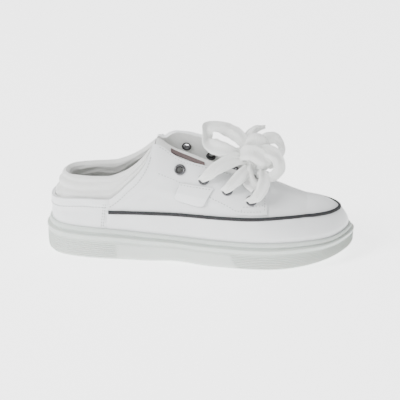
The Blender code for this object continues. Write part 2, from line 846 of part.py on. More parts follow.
def cut_eyelet_holes(body, index, side):
    """Cuts the clearance hole of one eyelet through a wall."""
    spot, normal = eyelet_spot(index, side)
    mesh = bpy.data.meshes.new("eyelet_hole")
    radius = EYELET_BARREL + GAP
    reach = 0.006
    count = EYELET_SIDES
    corner = radius / math.cos(math.pi / count)
    points = []
    for z in (-reach, reach):
        for k in range(count):
            a = 2 * math.pi * k / count
            points.append((corner * math.cos(a), corner * math.sin(a), z))
    faces = [tuple(reversed(range(count))), tuple(range(count, 2 * count))]
    faces += [(k, (k + 1) % count, count + (k + 1) % count, count + k) for k in range(count)]
    mesh.from_pydata(points, [], faces)
    drill = bpy.data.objects.new("drill_" + body.name + str(index) + ("l" if side < 0 else "m"), mesh)
    bpy.context.scene.collection.objects.link(drill)
    drill.location = spot
    drill.rotation_mode = "QUATERNION"
    drill.rotation_quaternion = normal.to_track_quat("Z", "Y")
    drill.hide_render = True
    drill.display_type = "WIRE"
    cut = body.modifiers.new(drill.name, "BOOLEAN")
    cut.operation = "DIFFERENCE"
    cut.solver = "EXACT"
    cut.object = drill


def make_lace_bar(name, index, skin):
    """The lace across the throat between two eyelets, clear of both."""
    lift = OVERLAY_GAP + EYESTAY_THICKNESS + FLANGE_SEAT + FLANGE_THICKNESS + LACE_SEAT
    share = EYELETS["along"][index]
    ends = []
    for side in (-1, 1):
        turn = LAST.turn_at(share, side)
        ends.append(float(LAST.angle_at_height(turn, INSTEP_HEIGHT * (EYELETS["height"][index] + 0.015))))
    half = LACE_WIDTH / 2 / SOLE_LENGTH
    outer, inner = [], []
    for s in (share - half, share, share + half):
        edge = float(upper_edge(LAST.turn_at(s, 1)))
        rows = [(-1, a) for a in np.linspace(ends[0], math.pi / 2, 7)]
        rows += [(1, a) for a in np.linspace(edge, ends[1], 5)]
        bow = LACE_CROWN if s == share else 0
        outer.append([LAST.point(LAST.turn_at(s, k), a, -lift - LACE_THICKNESS - bow) for k, a in rows])
        inner.append([LAST.point(LAST.turn_at(s, k), a, -lift) for k, a in rows])
    return plate(name, np.array(outer), np.array(inner), skin)


def make_cord(name, route, radius, skin):
    """A plain tube on a smooth curve through the route's points."""
    points = np.array(route)
    ends = np.vstack([2 * points[0] - points[1], points, 2 * points[-1] - points[-2]])
    t = np.linspace(0, 1, 5, endpoint=False)[:, None]
    path = []
    for i in range(1, len(ends) - 2):
        path.append(curve_between(*ends[i - 1 : i + 3], t))
    path = np.vstack(path + [points[-1:]])
    run = np.concatenate([[0], np.cumsum(np.linalg.norm(np.diff(path, axis=0), axis=1))])
    count = max(4, round(run[-1] / (4.5 * radius)))
    even = np.linspace(0, run[-1], count)
    path = np.column_stack([np.interp(even, run, path[:, k]) for k in range(3)])
    data = bpy.data.curves.new(name, "CURVE")
    data.dimensions = "3D"
    data.bevel_depth = radius
    data.bevel_resolution = 2
    data.use_fill_caps = True
    line = data.splines.new("POLY")
    line.points.add(len(path) - 1)
    for point, spot in zip(line.points, path):
        point.co = (*spot, 1)
    data.materials.append(skin)
    made = bpy.data.objects.new(name, data)
    bpy.context.scene.collection.objects.link(made)
    return made


def knot_centre():
    """The knot's middle: it rests just over the last lace bar, a little to the lateral side."""
    turn = LAST.turn_at(EYELETS["along"][-1] - KNOT_BACK, -1)
    angle = math.pi / 2 - KNOT_TILT
    lift = OVERLAY_GAP + EYESTAY_THICKNESS + FLANGE_SEAT + FLANGE_THICKNESS + LACE_SEAT
    rise = lift + LACE_THICKNESS + KNOT_SEAT + KNOT_FLATNESS * KNOT_RADIUS
    return LAST.point(turn, angle, -rise)


def leave_knot(direction, clear):
    """A point straight out of the knot along a direction, clear of it by a distance."""
    way = unit(np.array(direction))
    radii = KNOT_RADIUS * np.array([1, KNOT_DEPTH, KNOT_FLATNESS])
    reach = 1 / np.linalg.norm(way / radii)
    return knot_centre() + way * (reach + clear)


def bow_route(leaving, middle, returning=None):
    """A route out of the knot, through points given from its centre, and back if it returns."""
    route = [leave_knot(leaving, KNOT_CLEARANCE), leave_knot(leaving, KNOT_CLEARANCE + 1.6 * BOW_RADIUS)]
    route += [knot_centre() + np.array(spot) for spot in middle]
    if returning is not None:
        route += [leave_knot(returning, KNOT_CLEARANCE + 1.6 * BOW_RADIUS), leave_knot(returning, KNOT_CLEARANCE)]
    return route


# The bow, metres from the knot's centre
LOOP_BACK = (
    (-0.0210, -0.0080, 0.0160),
    (-0.0350, -0.0110, 0.0215),
    (-0.0385, -0.0040, 0.0265),
    (-0.0270, 0.0040, 0.0270),
    (-0.0130, 0.0050, 0.0180),
)
LOOP_FRONT = (
    (0.0180, -0.0060, 0.0085),
    (0.0260, -0.0090, 0.0020),
    (0.0220, -0.0115, -0.0080),
    (0.0145, -0.0135, -0.0105),
)
LOOP_FAR = (
    (0.0150, 0.0170, 0.0040),
    (0.0230, 0.0230, 0.0070),
    (0.0290, 0.0160, 0.0030),
    (0.0220, 0.0050, -0.0050),
)
END_FAR = (
    (-0.0010, 0.0170, 0.0130),
    (0.0030, 0.0270, 0.0240),
)


def make_knot(skin):
    """The bow's knot, a rounded block that rests just over the lace bars."""
    sides, rows = 12, 6
    wide, deep, high = KNOT_RADIUS, KNOT_DEPTH * KNOT_RADIUS, KNOT_FLATNESS * KNOT_RADIUS
    points = [(0, 0, -high)]
    for r in range(1, rows):
        a = math.pi * r / rows
        for k in range(sides):
            b = 2 * math.pi * k / sides
            flat = math.sin(a)
            points.append((wide * flat * math.cos(b), deep * flat * math.sin(b), -high * math.cos(a)))
    points.append((0, 0, high))
    last = len(points) - 1
    faces = [(0, 1 + (k + 1) % sides, 1 + k) for k in range(sides)]
    for r in range(rows - 2):
        for k in range(sides):
            n = (k + 1) % sides
            low, high = 1 + r * sides, 1 + (r + 1) * sides
            faces.append((low + k, low + n, high + n, high + k))
    top = 1 + (rows - 2) * sides
    faces += [(top + k, top + (k + 1) % sides, last) for k in range(sides)]
    made = add_object("lace_knot", points, faces, skin)
    made.location = knot_centre()
    return made


def build():
    for old in list(bpy.data.objects):
        bpy.data.objects.remove(old)
    rubber = material("sole_rubber", (0.62, 0.65, 0.62), 0.55)
    leather = material("white_leather", (0.80, 0.81, 0.81), 0.45)
    lining = material("collar_fabric", (0.72, 0.72, 0.70), 0.80)
    footbed = material("footbed", (0.70, 0.70, 0.68), 0.85)
    cord = material("piping_cord", (0.022, 0.023, 0.025), 0.60)
    brown = material("label_brown", (0.27, 0.20, 0.19), 0.60)
    metal = material("gunmetal", (0.20, 0.20, 0.21), 0.35, 1.0)
    ribbon = material("lace_ribbon", (0.82, 0.82, 0.81), 0.85)

    make_outsole(rubber)
    make_insole(footbed)
    upper = make_upper(leather)
    make_collar(lining)
    make_tongue(lining)
    make_label(brown)
    stays = {
        -1: make_eyestay("eyestay_lateral", -1, leather),
        1: make_eyestay("eyestay_medial", 1, leather),
    }
    make_piping(cord)
    make_tag(leather)
    for side, word in ((-1, "lateral"), (1, "medial")):
        for index in range(len(EYELETS["along"])):
            make_eyelet(f"eyelet_{word}_{index + 1}", index, side, metal)
            cut_eyelet_holes(upper, index, side)
            cut_eyelet_holes(stays[side], index, side)
    for index in (1, 2, 3):
        make_lace_bar(f"lace_bar_{index}", index, ribbon)
    make_knot(ribbon)
    bow = {
        "lace_loop_back": bow_route((-1, -0.7, 0.7), LOOP_BACK, (-0.5, 0.3, 1)),
        "lace_loop_front": bow_route((1, -0.2, 0.7), LOOP_FRONT, (0.8, -1, -0.3)),
        "lace_loop_far": bow_route((0.9, 0.8, -0.1), LOOP_FAR, (0.9, -0.1, -0.45)),
        "lace_end": bow_route((-0.1, 1, 0.35), END_FAR),
    }
    for name, route in bow.items():
        make_cord(name, route, BOW_RADIUS, ribbon)


build()
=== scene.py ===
"""The looks of the low lace-up shoe: finer surfaces, seams, stitches, fabric and laces.

The same outline and last as the solids give every surface here, at a finer pitch. Lengths
are metres, except in tables whose heading says millimetres.
"""

import math

import bpy
import numpy as np
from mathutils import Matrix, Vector, noise


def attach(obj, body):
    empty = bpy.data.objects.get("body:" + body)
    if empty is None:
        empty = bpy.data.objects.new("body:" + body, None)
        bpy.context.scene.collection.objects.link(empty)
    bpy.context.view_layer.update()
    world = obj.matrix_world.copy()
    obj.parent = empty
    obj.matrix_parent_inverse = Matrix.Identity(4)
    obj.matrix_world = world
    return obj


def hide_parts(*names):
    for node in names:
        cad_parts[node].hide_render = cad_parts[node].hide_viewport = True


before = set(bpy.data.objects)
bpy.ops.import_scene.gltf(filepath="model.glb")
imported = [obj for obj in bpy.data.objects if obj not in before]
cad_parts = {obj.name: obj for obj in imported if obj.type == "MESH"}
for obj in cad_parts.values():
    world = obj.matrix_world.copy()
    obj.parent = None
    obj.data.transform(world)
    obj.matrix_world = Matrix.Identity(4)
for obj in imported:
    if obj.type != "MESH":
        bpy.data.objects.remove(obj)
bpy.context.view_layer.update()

MM = 0.001

# Driving sizes
SOLE_LENGTH = 0.265
BALL_WIDTH = 0.098
INSTEP_HEIGHT = 0.106
SOLE_HEIGHT = 0.028
TOE_SPRING = 0.009
ARCH_RISE = 0.0015
GAP = 0.0003

# Cup sole
BEAD_INSET = 0.0020
RIM_WALL = 0.0026
CUP_DEPTH = 0.0075
BORDER_WIDTH = 0.008
GROOVE_DEPTH = 0.0016
RIB_DEPTH = 0.0005
INSOLE_THICKNESS = 0.0045

# Upper
UPPER_WALL = 0.002
COUNTER_STEP = 0.0008
HEEL_FAN = 0.036
TOE_FAN = 0.040
THROAT_HALF_WIDTH = 0.015
EYESTAY_THICKNESS = 0.0012
OVERLAY_GAP = 0.0006
PIPING_WIDTH = 0.0032
PIPING_HEIGHT = 0.0018
TAG_THICKNESS = 0.0009
TAG_SEAT = 0.0005

# Collar, tongue and label
COLLAR_TUCK = 0.013
COLLAR_CLEARANCE = 0.0008
COLLAR_LINING = 0.0025
COLLAR_PAD = 0.0070
COLLAR_LEAN = 0.0050
COLLAR_ROUNDING = 0.0012
TONGUE_THICKNESS = 0.0030
TONGUE_CLEARANCE = 0.0022
TONGUE_SAG = 0.0015
LABEL_THICKNESS = 0.0006
LABEL_SEAT = 0.0006

# Eyelets and laces
EYELET_RADIUS = 0.0049
EYELET_BORE = 0.0028
EYELET_BARREL = 0.0034
FLANGE_THICKNESS = 0.0007
FLANGE_SEAT = 0.0005
LACE_WIDTH = 0.0090
LACE_THICKNESS = 0.0024
LACE_SEAT = 0.0005
LACE_CROWN = 0.0006
KNOT_SEAT = 0.0010
BOW_RADIUS = 0.0026
KNOT_RADIUS = 0.0078
KNOT_DEPTH = 0.80
KNOT_FLATNESS = 0.75
KNOT_TILT = 0.12
KNOT_CLEARANCE = 0.0009
# The knot's middle stands behind the last bar's, a share of the sole's length
KNOT_BACK = 0.012


def table(columns, *rows):
    """A table with named columns, from one tuple for each row."""
    return {name: np.array(values) for name, values in zip(columns.split(), zip(*rows))}


# Plan outline, from the heel's end along the lateral side to the toe and back along the
# medial side: shares of the sole's length and of the ball's width
OUTLINE = table(
    "along across",
    (0.000, 0.000),
    (0.014, -0.170),
    (0.060, -0.300),
    (0.160, -0.368),
    (0.300, -0.380),
    (0.440, -0.410),
    (0.580, -0.475),
    (0.700, -0.505),
    (0.810, -0.465),
    (0.900, -0.355),
    (0.962, -0.190),
    (0.996, 0.020),
    (0.990, 0.190),
    (0.945, 0.345),
    (0.860, 0.455),
    (0.750, 0.495),
    (0.630, 0.455),
    (0.500, 0.385),
    (0.370, 0.352),
    (0.230, 0.360),
    (0.130, 0.352),
    (0.055, 0.290),
    (0.013, 0.165),
)

# The last along the shoe: height of its spine as a share of the instep's, and how full
# its section is, where 2 is an ellipse and more is squarer
SPINE = table(
    "along height fullness",
    (0.00, 0.860, 3.6),
    (0.14, 0.880, 3.5),
    (0.25, 0.940, 2.9),
    (0.36, 1.000, 2.15),
    (0.43, 0.915, 2.0),
    (0.51, 0.840, 2.0),
    (0.59, 0.760, 2.0),
    (0.67, 0.670, 2.0),
    (0.73, 0.605, 1.90),
    (0.80, 0.540, 1.80),
    (0.88, 0.475, 1.75),
    (1.00, 0.430, 1.80),
)

# Edge of the outer leather around the heel and up to the flap, as a share of the instep
TOPLINE = table(
    "along height",
    (0.000, 0.445),
    (0.060, 0.475),
    (0.140, 0.500),
    (0.215, 0.505),
    (0.240, 0.545),
    (0.275, 0.630),
    (0.310, 0.715),
    (0.340, 0.830),
    (0.352, 0.920),
    (0.362, 1.100),
    (1.000, 1.100),
)

# Half width of the throat, as a share of its widest
THROAT = table(
    "along half",
    (0.00, 0.88),
    (0.37, 0.88),
    (0.46, 1.00),
    (0.58, 0.92),
    (0.66, 0.75),
    (0.70, 0.55),
    (0.72, 0.30),
    (0.73, 0.00),
    (1.00, 0.00),
)

# Top of the soft collar, as a share of the instep, and how far it leans in
COLLAR = table(
    "along top lean",
    (0.000, 0.672, 1.00),
    (0.130, 0.680, 0.75),
    (0.210, 0.690, 0.50),
    (0.260, 0.735, 0.30),
    (0.300, 0.800, 0.15),
    (0.330, 0.875, 0.05),
    (0.350, 0.935, 0.00),
)

# Collar across its wall, from its tucked edge to its rolled top: share of its height
# and share of the padding that its thickness reaches
COLLAR_SECTION = table(
    "up pad",
    (0.00, 0.00),
    (0.25, 0.05),
    (0.45, 0.30),
    (0.62, 0.75),
    (0.78, 1.00),
    (0.92, 0.75),
    (1.00, 0.05),
)

# Height of the sole's side
SOLE_SIDE = table(
    "along top",
    (0.00, 1.030),
    (0.10, 1.000),
    (0.20, 0.985),
    (0.35, 0.900),
    (0.50, 0.850),
    (0.70, 0.855),
    (0.85, 0.870),
    (0.93, 0.850),
    (1.00, 0.930),
)

# Side of the sole from the ground up: share of its height, inset from the outline, and
# the share of the rib's depth taken there
SOLE_PROFILE = table(
    "up inset rib",
    (0.00, 0.0038, 0.0),
    (0.08, 0.0016, 0.0),
    (0.20, 0.0009, 1.0),
    (0.30, 0.0008, 0.0),
    (0.40, 0.0007, 1.0),
    (0.52, 0.0006, 0.0),
    (0.62, 0.0014, 0.0),
    (0.68, 0.0002, 0.0),
    (0.77, 0.0000, 0.0),
    (0.82, 0.0032, 0.0),
    (0.88, 0.0022, 0.0),
    (0.96, 0.0021, 0.0),
)

# Lower edge of the eyestay and height of the piping, as shares of the instep
# How far the medial flap stands up at its throat edge, a share of the instep's height
FLAP_LIFT = table(
    "along rise",
    (0.000, 0.000),
    (0.380, 0.000),
    (0.400, 0.062),
    (0.425, 0.122),
    (0.470, 0.152),
    (0.520, 0.152),
    (0.580, 0.110),
    (0.640, 0.045),
    (0.690, 0.000),
    (1.000, 0.000),
)
# Where that flap starts to stand, a share of the height between the rim and the spine
FLAP_HINGE = 0.50

EYESTAY_EDGE = table(
    "along height",
    (0.340, 0.745),
    (0.440, 0.650),
    (0.538, 0.552),
    (0.600, 0.490),
    (0.645, 0.445),
    (0.740, 0.440),
)
PIPING = table(
    "along height",
    (0.20, 0.398),
    (0.45, 0.410),
    (0.75, 0.412),
    (0.90, 0.400),
    (1.00, 0.385),
)

# Grooves across the tread, as shares of the sole's length
GROOVES = (0.10, 0.26, 0.56, 0.64, 0.72, 0.80, 0.88)

EYELETS = table(
    "along height",
    (0.447, 0.755),
    (0.526, 0.688),
    (0.603, 0.613),
    (0.681, 0.538),
)
COUNTER_EDGE = 0.213
FLAP_BACK = 0.362
EYESTAY_FRONT = 0.738
TONGUE_BACK = 0.365
TONGUE_FRONT = 0.755
TONGUE_CREST = 0.66
TONGUE_SLOPE = 0.16
# The angle on the last at the tongue's two side edges
TONGUE_LIMIT = 0.62
LABEL_ALONG = (0.408, 0.530)
LABEL_ACROSS = (-0.36, -0.08)
TAG_CORNERS = table(
    "along height lift",
    (0.450, 0.660, 1.0),
    (0.427, 0.527, 0.0),
    (0.524, 0.478, 0.0),
    (0.560, 0.630, 1.0),
)
TAG_SKIRT = 0.45


def smooth(rows, column, at):
    """A column's value at a share of the length, on a cubic that never overshoots a row."""
    x = rows["along" if "along" in rows else "up"]
    y = rows[column]
    slope = np.diff(y) / np.diff(x)
    before, after = slope[:-1], slope[1:]
    same = before * after > 0
    inner = np.where(same, 2 * before * after / np.where(same, before + after, 1), 0)
    tangent = np.concatenate([slope[:1], inner, slope[-1:]])
    at = np.clip(np.asarray(at, float), x[0], x[-1])
    i = np.clip(np.searchsorted(x, at, side="right") - 1, 0, len(x) - 2)
    step = x[i + 1] - x[i]
    t = (at - x[i]) / step
    return (
        (1 + 2 * t) * (1 - t) ** 2 * y[i]
        + t * (1 - t) ** 2 * step * tangent[i]
        + t * t * (3 - 2 * t) * y[i + 1]
        + t * t * (t - 1) * step * tangent[i + 1]
    )


def unit(vectors):
    length = np.linalg.norm(vectors, axis=-1, keepdims=True)
    return vectors / np.maximum(length, 1e-12)


def curve_between(a, b, c, d, t):
    """Points from b to c on the smooth curve through four points, t running 0 to 1."""
    bend = (2 * a - 5 * b + 4 * c - d) * t**2 + (3 * b - a - 3 * c + d) * t**3
    return 0.5 * (2 * b + (c - a) * t + bend)


class Outline:
    """The sole's plan. A turn runs 0 to 1 on the lateral side, heel to toe, and on to 2."""

    def __init__(self):
        points = np.column_stack([OUTLINE["along"], OUTLINE["across"]])
        loop = self.rounded(points)
        low, high = loop.min(0), loop.max(0)
        size = np.array([SOLE_LENGTH, BALL_WIDTH])
        loop = (loop - (low + high) / 2) / (high - low) * size
        loop = np.roll(loop, -int(loop[:, 0].argmin()), axis=0)
        loop = np.vstack([loop, loop[:1]])
        run = np.concatenate([[0], np.cumsum(np.linalg.norm(np.diff(loop, axis=0), axis=1))])
        toe = int(loop[:, 0].argmax())
        lateral = run[: toe + 1] / run[toe]
        medial = 1 + (run[toe + 1 :] - run[toe]) / (run[-1] - run[toe])
        self.turn = np.concatenate([lateral, medial])
        self.loop = loop

    @staticmethod
    def rounded(points, steps=40):
        """A closed Catmull-Rom curve through the points."""
        t = np.linspace(0, 1, steps, endpoint=False)[:, None]
        parts = []
        for i in range(len(points)):
            four = [points[(i + k) % len(points)] for k in (-1, 0, 1, 2)]
            parts.append(curve_between(*four, t))
        return np.vstack(parts)

    def point(self, turn, inset=0.0):
        turn = np.mod(turn, 2.0)
        there = self.raw(turn)
        ahead = self.raw(np.mod(turn + 0.01, 2.0)) - self.raw(np.mod(turn - 0.01, 2.0))
        inward = unit(np.stack([-ahead[..., 1], ahead[..., 0]], axis=-1))
        return there + inward * np.asarray(inset)[..., None]

    def raw(self, turn):
        return np.stack([np.interp(turn, self.turn, self.loop[:, k]) for k in (0, 1)], axis=-1)


OUT = Outline()


def share_of(x):
    return x / SOLE_LENGTH + 0.5


def ground(share):
    """Height of the tread: flat at heel and ball, a low arch between, and the toe's spring."""
    spring = TOE_SPRING * np.clip((share - 0.72) / 0.28, 0, 1) ** 2
    arch = ARCH_RISE * np.sin(np.pi * np.clip((share - 0.33) / 0.21, 0, 1)) ** 2
    return spring + arch


def rim(share):
    """Height of the sole's upper edge."""
    return SOLE_HEIGHT * smooth(SOLE_SIDE, "top", share)


def cup_floor(share):
    return rim(share) - CUP_DEPTH


FEATHER = BEAD_INSET + RIM_WALL + GAP
TURNS = np.linspace(0, 1, 801)
FEATHER_MIDS = (OUT.point(TURNS, FEATHER) + OUT.point(2 - TURNS, FEATHER)) / 2


# Angle of the upper's lowest free row, just over the sole's rim
RIM_ANGLE = 0.012


class Last:
    """The shoe's outer surface: sections that rise from the rim to the spine.

    Flap is 1 with the medial flap standing up and 0 for the plain form under it.
    """

    def __init__(self, flap):
        self.flap = flap

    def frame(self, turn):
        base = OUT.point(turn, FEATHER)
        side = np.where(np.mod(turn, 2) > 1, 2 - np.mod(turn, 2), np.mod(turn, 2))
        mid_x = np.interp(side, TURNS, FEATHER_MIDS[:, 0])
        low = -SOLE_LENGTH / 2 + HEEL_FAN
        high = SOLE_LENGTH / 2 - TOE_FAN
        spine_x = np.clip(mid_x, low, high)
        spine_y = np.interp(spine_x, FEATHER_MIDS[:, 0], FEATHER_MIDS[:, 1])
        share = share_of(base[..., 0])
        foot = rim(share)
        top = INSTEP_HEIGHT * smooth(SPINE, "height", share_of(spine_x))
        full = smooth(SPINE, "fullness", share)
        return base, np.stack([spine_x, spine_y], axis=-1), foot, top, full

    def point(self, turn, angle, depth=0.0):
        """A point of the surface, moved in by a depth. The angle runs 0 at the rim to pi/2."""
        turn, angle, depth = np.broadcast_arrays(
            np.asarray(turn, float), np.asarray(angle, float), np.asarray(depth, float)
        )
        here = self.raw(turn, angle)
        return here - self.normal(turn, angle) * depth[..., None]

    def raw(self, turn, angle):
        base, spine, foot, top, full = self.frame(turn)
        out = np.cos(angle) ** (2 / full)
        up = np.sin(angle) ** (2 / full)
        plan = spine + (base - spine) * out[..., None]
        height = foot + (top - foot) * up + self.stand(turn, up)[0]
        return np.concatenate([plan, height[..., None]], axis=-1)

    def stand(self, turn, up):
        """How far the medial flap stands up at a share of the rise, and its slope there."""
        base, spine, foot, top, full = self.frame(turn)
        middle = share_of(spine[..., 0])
        rise = self.flap * INSTEP_HEIGHT * smooth(FLAP_LIFT, "rise", middle)
        rise = np.where(np.mod(turn, 2) > 1, rise, 0)
        reach = np.maximum(np.abs(base[..., 1] - spine[..., 1]), 1e-6)
        half = THROAT_HALF_WIDTH * smooth(THROAT, "half", middle)
        edge = (1 - np.clip(half / reach, 0, 1) ** full) ** (1 / full)
        span = np.maximum(edge, FLAP_HINGE + 0.1) - FLAP_HINGE
        part = np.clip((up - FLAP_HINGE) / span, 0, 1)
        slope = np.where(part < 1, 2 * rise * part / span, 0)
        return rise * part * part, slope

    def normal(self, turn, angle):
        tangent, rise = self.tangents(turn, angle)
        return unit(np.cross(tangent, rise))

    def tangents(self, turn, angle):
        safe = np.clip(angle, 0.02, 1.45)
        along = self.raw(turn + 0.004, safe) - self.raw(turn - 0.004, safe)
        base, spine, foot, top, full = self.frame(turn)
        reach = base - spine
        width = np.linalg.norm(reach, axis=-1)
        out = np.cos(safe) ** (2 / full)
        up = np.sin(safe) ** (2 / full)
        run = -(up ** (full - 1)) / (top - foot)
        climb = out ** (full - 1) / width * (1 + self.stand(turn, up)[1] / (top - foot))
        rise = np.concatenate([unit(reach) * run[..., None], climb[..., None]], axis=-1)
        return unit(along), unit(rise)

    def angle_at_height(self, turn, height):
        base, spine, foot, top, full = self.frame(turn)
        up = np.clip((height - foot) / (top - foot), 0, 1)
        return np.arcsin(up ** (full / 2))

    def angle_at_width(self, turn, half):
        base, spine, foot, top, full = self.frame(turn)
        reach = np.abs(base[..., 1] - spine[..., 1])
        out = np.clip(half / np.maximum(reach, 1e-6), 0, 1)
        return np.arccos(out ** (full / 2))

    def turn_at(self, share, side):
        """The turn whose rim point lies at a share of the length, on side -1 or +1."""
        turns = TURNS if side < 0 else 2 - TURNS
        return np.interp(share, share_of(OUT.point(turns, FEATHER)[:, 0]), turns)

    def in_fan(self, turn):
        mid = np.interp(min(turn, 2 - turn), TURNS, FEATHER_MIDS[:, 0])
        return mid >= SOLE_LENGTH / 2 - TOE_FAN


LAST = Last(1)
FORM = Last(0)


def upper_edge(turn):
    """The angle at which the outer leather ends: topline, throat edge or spine."""
    share = share_of(OUT.point(turn, FEATHER)[..., 0])
    line = LAST.angle_at_height(turn, INSTEP_HEIGHT * smooth(TOPLINE, "height", share))
    side = np.minimum(turn, 2 - turn)
    middle = share_of(np.interp(side, TURNS, FEATHER_MIDS[:, 0]))
    throat = LAST.angle_at_width(turn, THROAT_HALF_WIDTH * smooth(THROAT, "half", middle))
    return np.where(share < COUNTER_EDGE, line, np.minimum(line, throat))


# Mesh counts of the finer surfaces
FINE = 170
UPPER_ROWS = 54


def soft_step(value, edge, width):
    """0 below an edge and 1 above it, with a smooth rise of a given width."""
    t = np.clip((value - edge) / width + 0.5, 0, 1)
    return t * t * (3 - 2 * t)


def hump(value, centre, width):
    """A smooth ridge of height 1 at a centre."""
    return np.exp(-(((value - centre) / width) ** 2))


def ripple(points, scale, seed=0.0):
    """Smooth noise from -1 to 1 at each point of a grid."""
    flat = points.reshape(-1, 3) * scale + seed
    values = [noise.noise(Vector(p)) for p in flat]
    return np.array(values).reshape(points.shape[:-1])


def ride(made, *nodes, slot=None):
    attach(made, "root")
    if nodes:
        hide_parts(*nodes)
    return made


def add_mesh(name, points, faces, skins, skin_of=None, smooth_angle=50):
    mesh = bpy.data.meshes.new(name)
    mesh.from_pydata([tuple(p) for p in points], [], faces)
    for skin in skins:
        mesh.materials.append(skin)
    if skin_of is not None:
        mesh.polygons.foreach_set("material_index", skin_of)
    mesh.shade_smooth()
    mesh.set_sharp_from_angle(angle=math.radians(smooth_angle))
    made = bpy.data.objects.new(name, mesh)
    bpy.context.scene.collection.objects.link(made)
    return made


def round_edges(made, width, segments=3, angle=45):
    bevel = made.modifiers.new("round", "BEVEL")
    bevel.width = width
    bevel.segments = segments
    bevel.limit_method = "ANGLE"
    bevel.angle_limit = math.radians(angle)
    return made


def plate(name, outer, inner, skins, closed=False, inner_skin=0):
    """A solid sheet between two grids of points with columns and rows."""
    columns, rows = outer.shape[:2]
    points = np.concatenate([outer.reshape(-1, 3), inner.reshape(-1, 3)])
    half = columns * rows

    def at(c, r, side):
        return side * half + (c % columns) * rows + r

    faces, skin_of = [], []
    for c in range(columns if closed else columns - 1):
        for r in range(rows - 1):
            faces.append((at(c, r, 0), at(c + 1, r, 0), at(c + 1, r + 1, 0), at(c, r + 1, 0)))
            faces.append((at(c, r, 1), at(c, r + 1, 1), at(c + 1, r + 1, 1), at(c + 1, r, 1)))
            skin_of += [0, inner_skin]
        faces.append((at(c + 1, 0, 0), at(c, 0, 0), at(c, 0, 1), at(c + 1, 0, 1)))
        faces.append((at(c, rows - 1, 0), at(c + 1, rows - 1, 0), at(c + 1, rows - 1, 1), at(c, rows - 1, 1)))
        skin_of += [0, 0]
    if not closed:
        last = columns - 1
        for r in range(rows - 1):
            faces.append((at(0, r, 0), at(0, r + 1, 0), at(0, r + 1, 1), at(0, r, 1)))
            faces.append((at(last, r + 1, 0), at(last, r, 0), at(last, r, 1), at(last, r + 1, 1)))
            skin_of += [0, 0]
    return add_mesh(name, points, faces, skins, skin_of)


# Materials


def shader(name, colour, roughness, metallic=0.0):
    made = bpy.data.materials.new(name)
    made.use_nodes = True
    tree = made.node_tree
    principled = tree.nodes["Principled BSDF"]
    principled.inputs["Base Color"].default_value = (*colour, 1)
    principled.inputs["Roughness"].default_value = roughness
    principled.inputs["Metallic"].default_value = metallic
    return made, tree, principled


def texture(tree, kind, scale, **values):
    where = tree.nodes.new("ShaderNodeTexCoord")
    made = tree.nodes.new(kind)
    made.inputs["Scale"].default_value = scale
    for key, value in values.items():
        made.inputs[key].default_value = value
    tree.links.new(where.outputs["Object"], made.inputs["Vector"])
    return made


def vary_colour(tree, principled, source, dark, light, low=0.3, high=0.7):
    ramp = tree.nodes.new("ShaderNodeValToRGB")
    ramp.color_ramp.elements[0].position = low
    ramp.color_ramp.elements[0].color = (*dark, 1)
    ramp.color_ramp.elements[1].position = high
    ramp.color_ramp.elements[1].color = (*light, 1)
    tree.links.new(source, ramp.inputs["Fac"])
    tree.links.new(ramp.outputs["Color"], principled.inputs["Base Color"])


def add_bump(tree, principled, source, distance, strength=1.0):
    bump = tree.nodes.new("ShaderNodeBump")
    bump.inputs["Distance"].default_value = distance
    bump.inputs["Strength"].default_value = strength
    tree.links.new(source, bump.inputs["Height"])
    before = principled.inputs["Normal"].links
    if before:
        tree.links.new(before[0].from_socket, bump.inputs["Normal"])
    tree.links.new(bump.outputs["Normal"], principled.inputs["Normal"])


def leather(name, colour, shade):
    """Smooth coated leather: a fine pebble, faint smears of tone and a soft gloss."""
    made, tree, principled = shader(name, colour, 0.42)
    cloud = texture(tree, "ShaderNodeTexNoise", 34, Detail=4.0, Roughness=0.6)
    vary_colour(tree, principled, cloud.outputs["Fac"], shade, colour)
    pebble = texture(tree, "ShaderNodeTexVoronoi", 1500)
    add_bump(tree, principled, pebble.outputs["Distance"], 0.00006, 0.5)
    soft = texture(tree, "ShaderNodeTexNoise", 130, Detail=3.0)
    add_bump(tree, principled, soft.outputs["Fac"], 0.00035, 0.35)
    principled.inputs["Coat Weight"].default_value = 0.12
    principled.inputs["Coat Roughness"].default_value = 0.35
    return made


def fabric(name, colour, shade, pitch=0.0009, sheen=0.25, depth=0.00018):
    """Brushed woven cloth: crossed threads under a short nap."""
    made, tree, principled = shader(name, colour, 0.9)
    where = tree.nodes.new("ShaderNodeTexCoord")
    threads = []
    for direction in ("X", "Z"):
        wave = tree.nodes.new("ShaderNodeTexWave")
        wave.bands_direction = direction
        wave.inputs["Scale"].default_value = 0.314 / pitch
        wave.inputs["Distortion"].default_value = 1.4
        wave.inputs["Detail"].default_value = 1.0
        tree.links.new(where.outputs["Object"], wave.inputs["Vector"])
        threads.append(wave.outputs["Fac"])
    both = tree.nodes.new("ShaderNodeMath")
    both.operation = "MAXIMUM"
    tree.links.new(threads[0], both.inputs[0])
    tree.links.new(threads[1], both.inputs[1])
    cloud = texture(tree, "ShaderNodeTexNoise", 60, Detail=5.0, Roughness=0.65)
    vary_colour(tree, principled, cloud.outputs["Fac"], shade, colour)
    add_bump(tree, principled, both.outputs["Value"], depth, 0.5)
    nap = texture(tree, "ShaderNodeTexNoise", 900, Detail=3.0, Roughness=0.7)
    add_bump(tree, principled, nap.outputs["Fac"], depth * 1.5, 0.5)
    principled.inputs["Sheen Weight"].default_value = sheen
    principled.inputs["Sheen Roughness"].default_value = 0.5
    return made


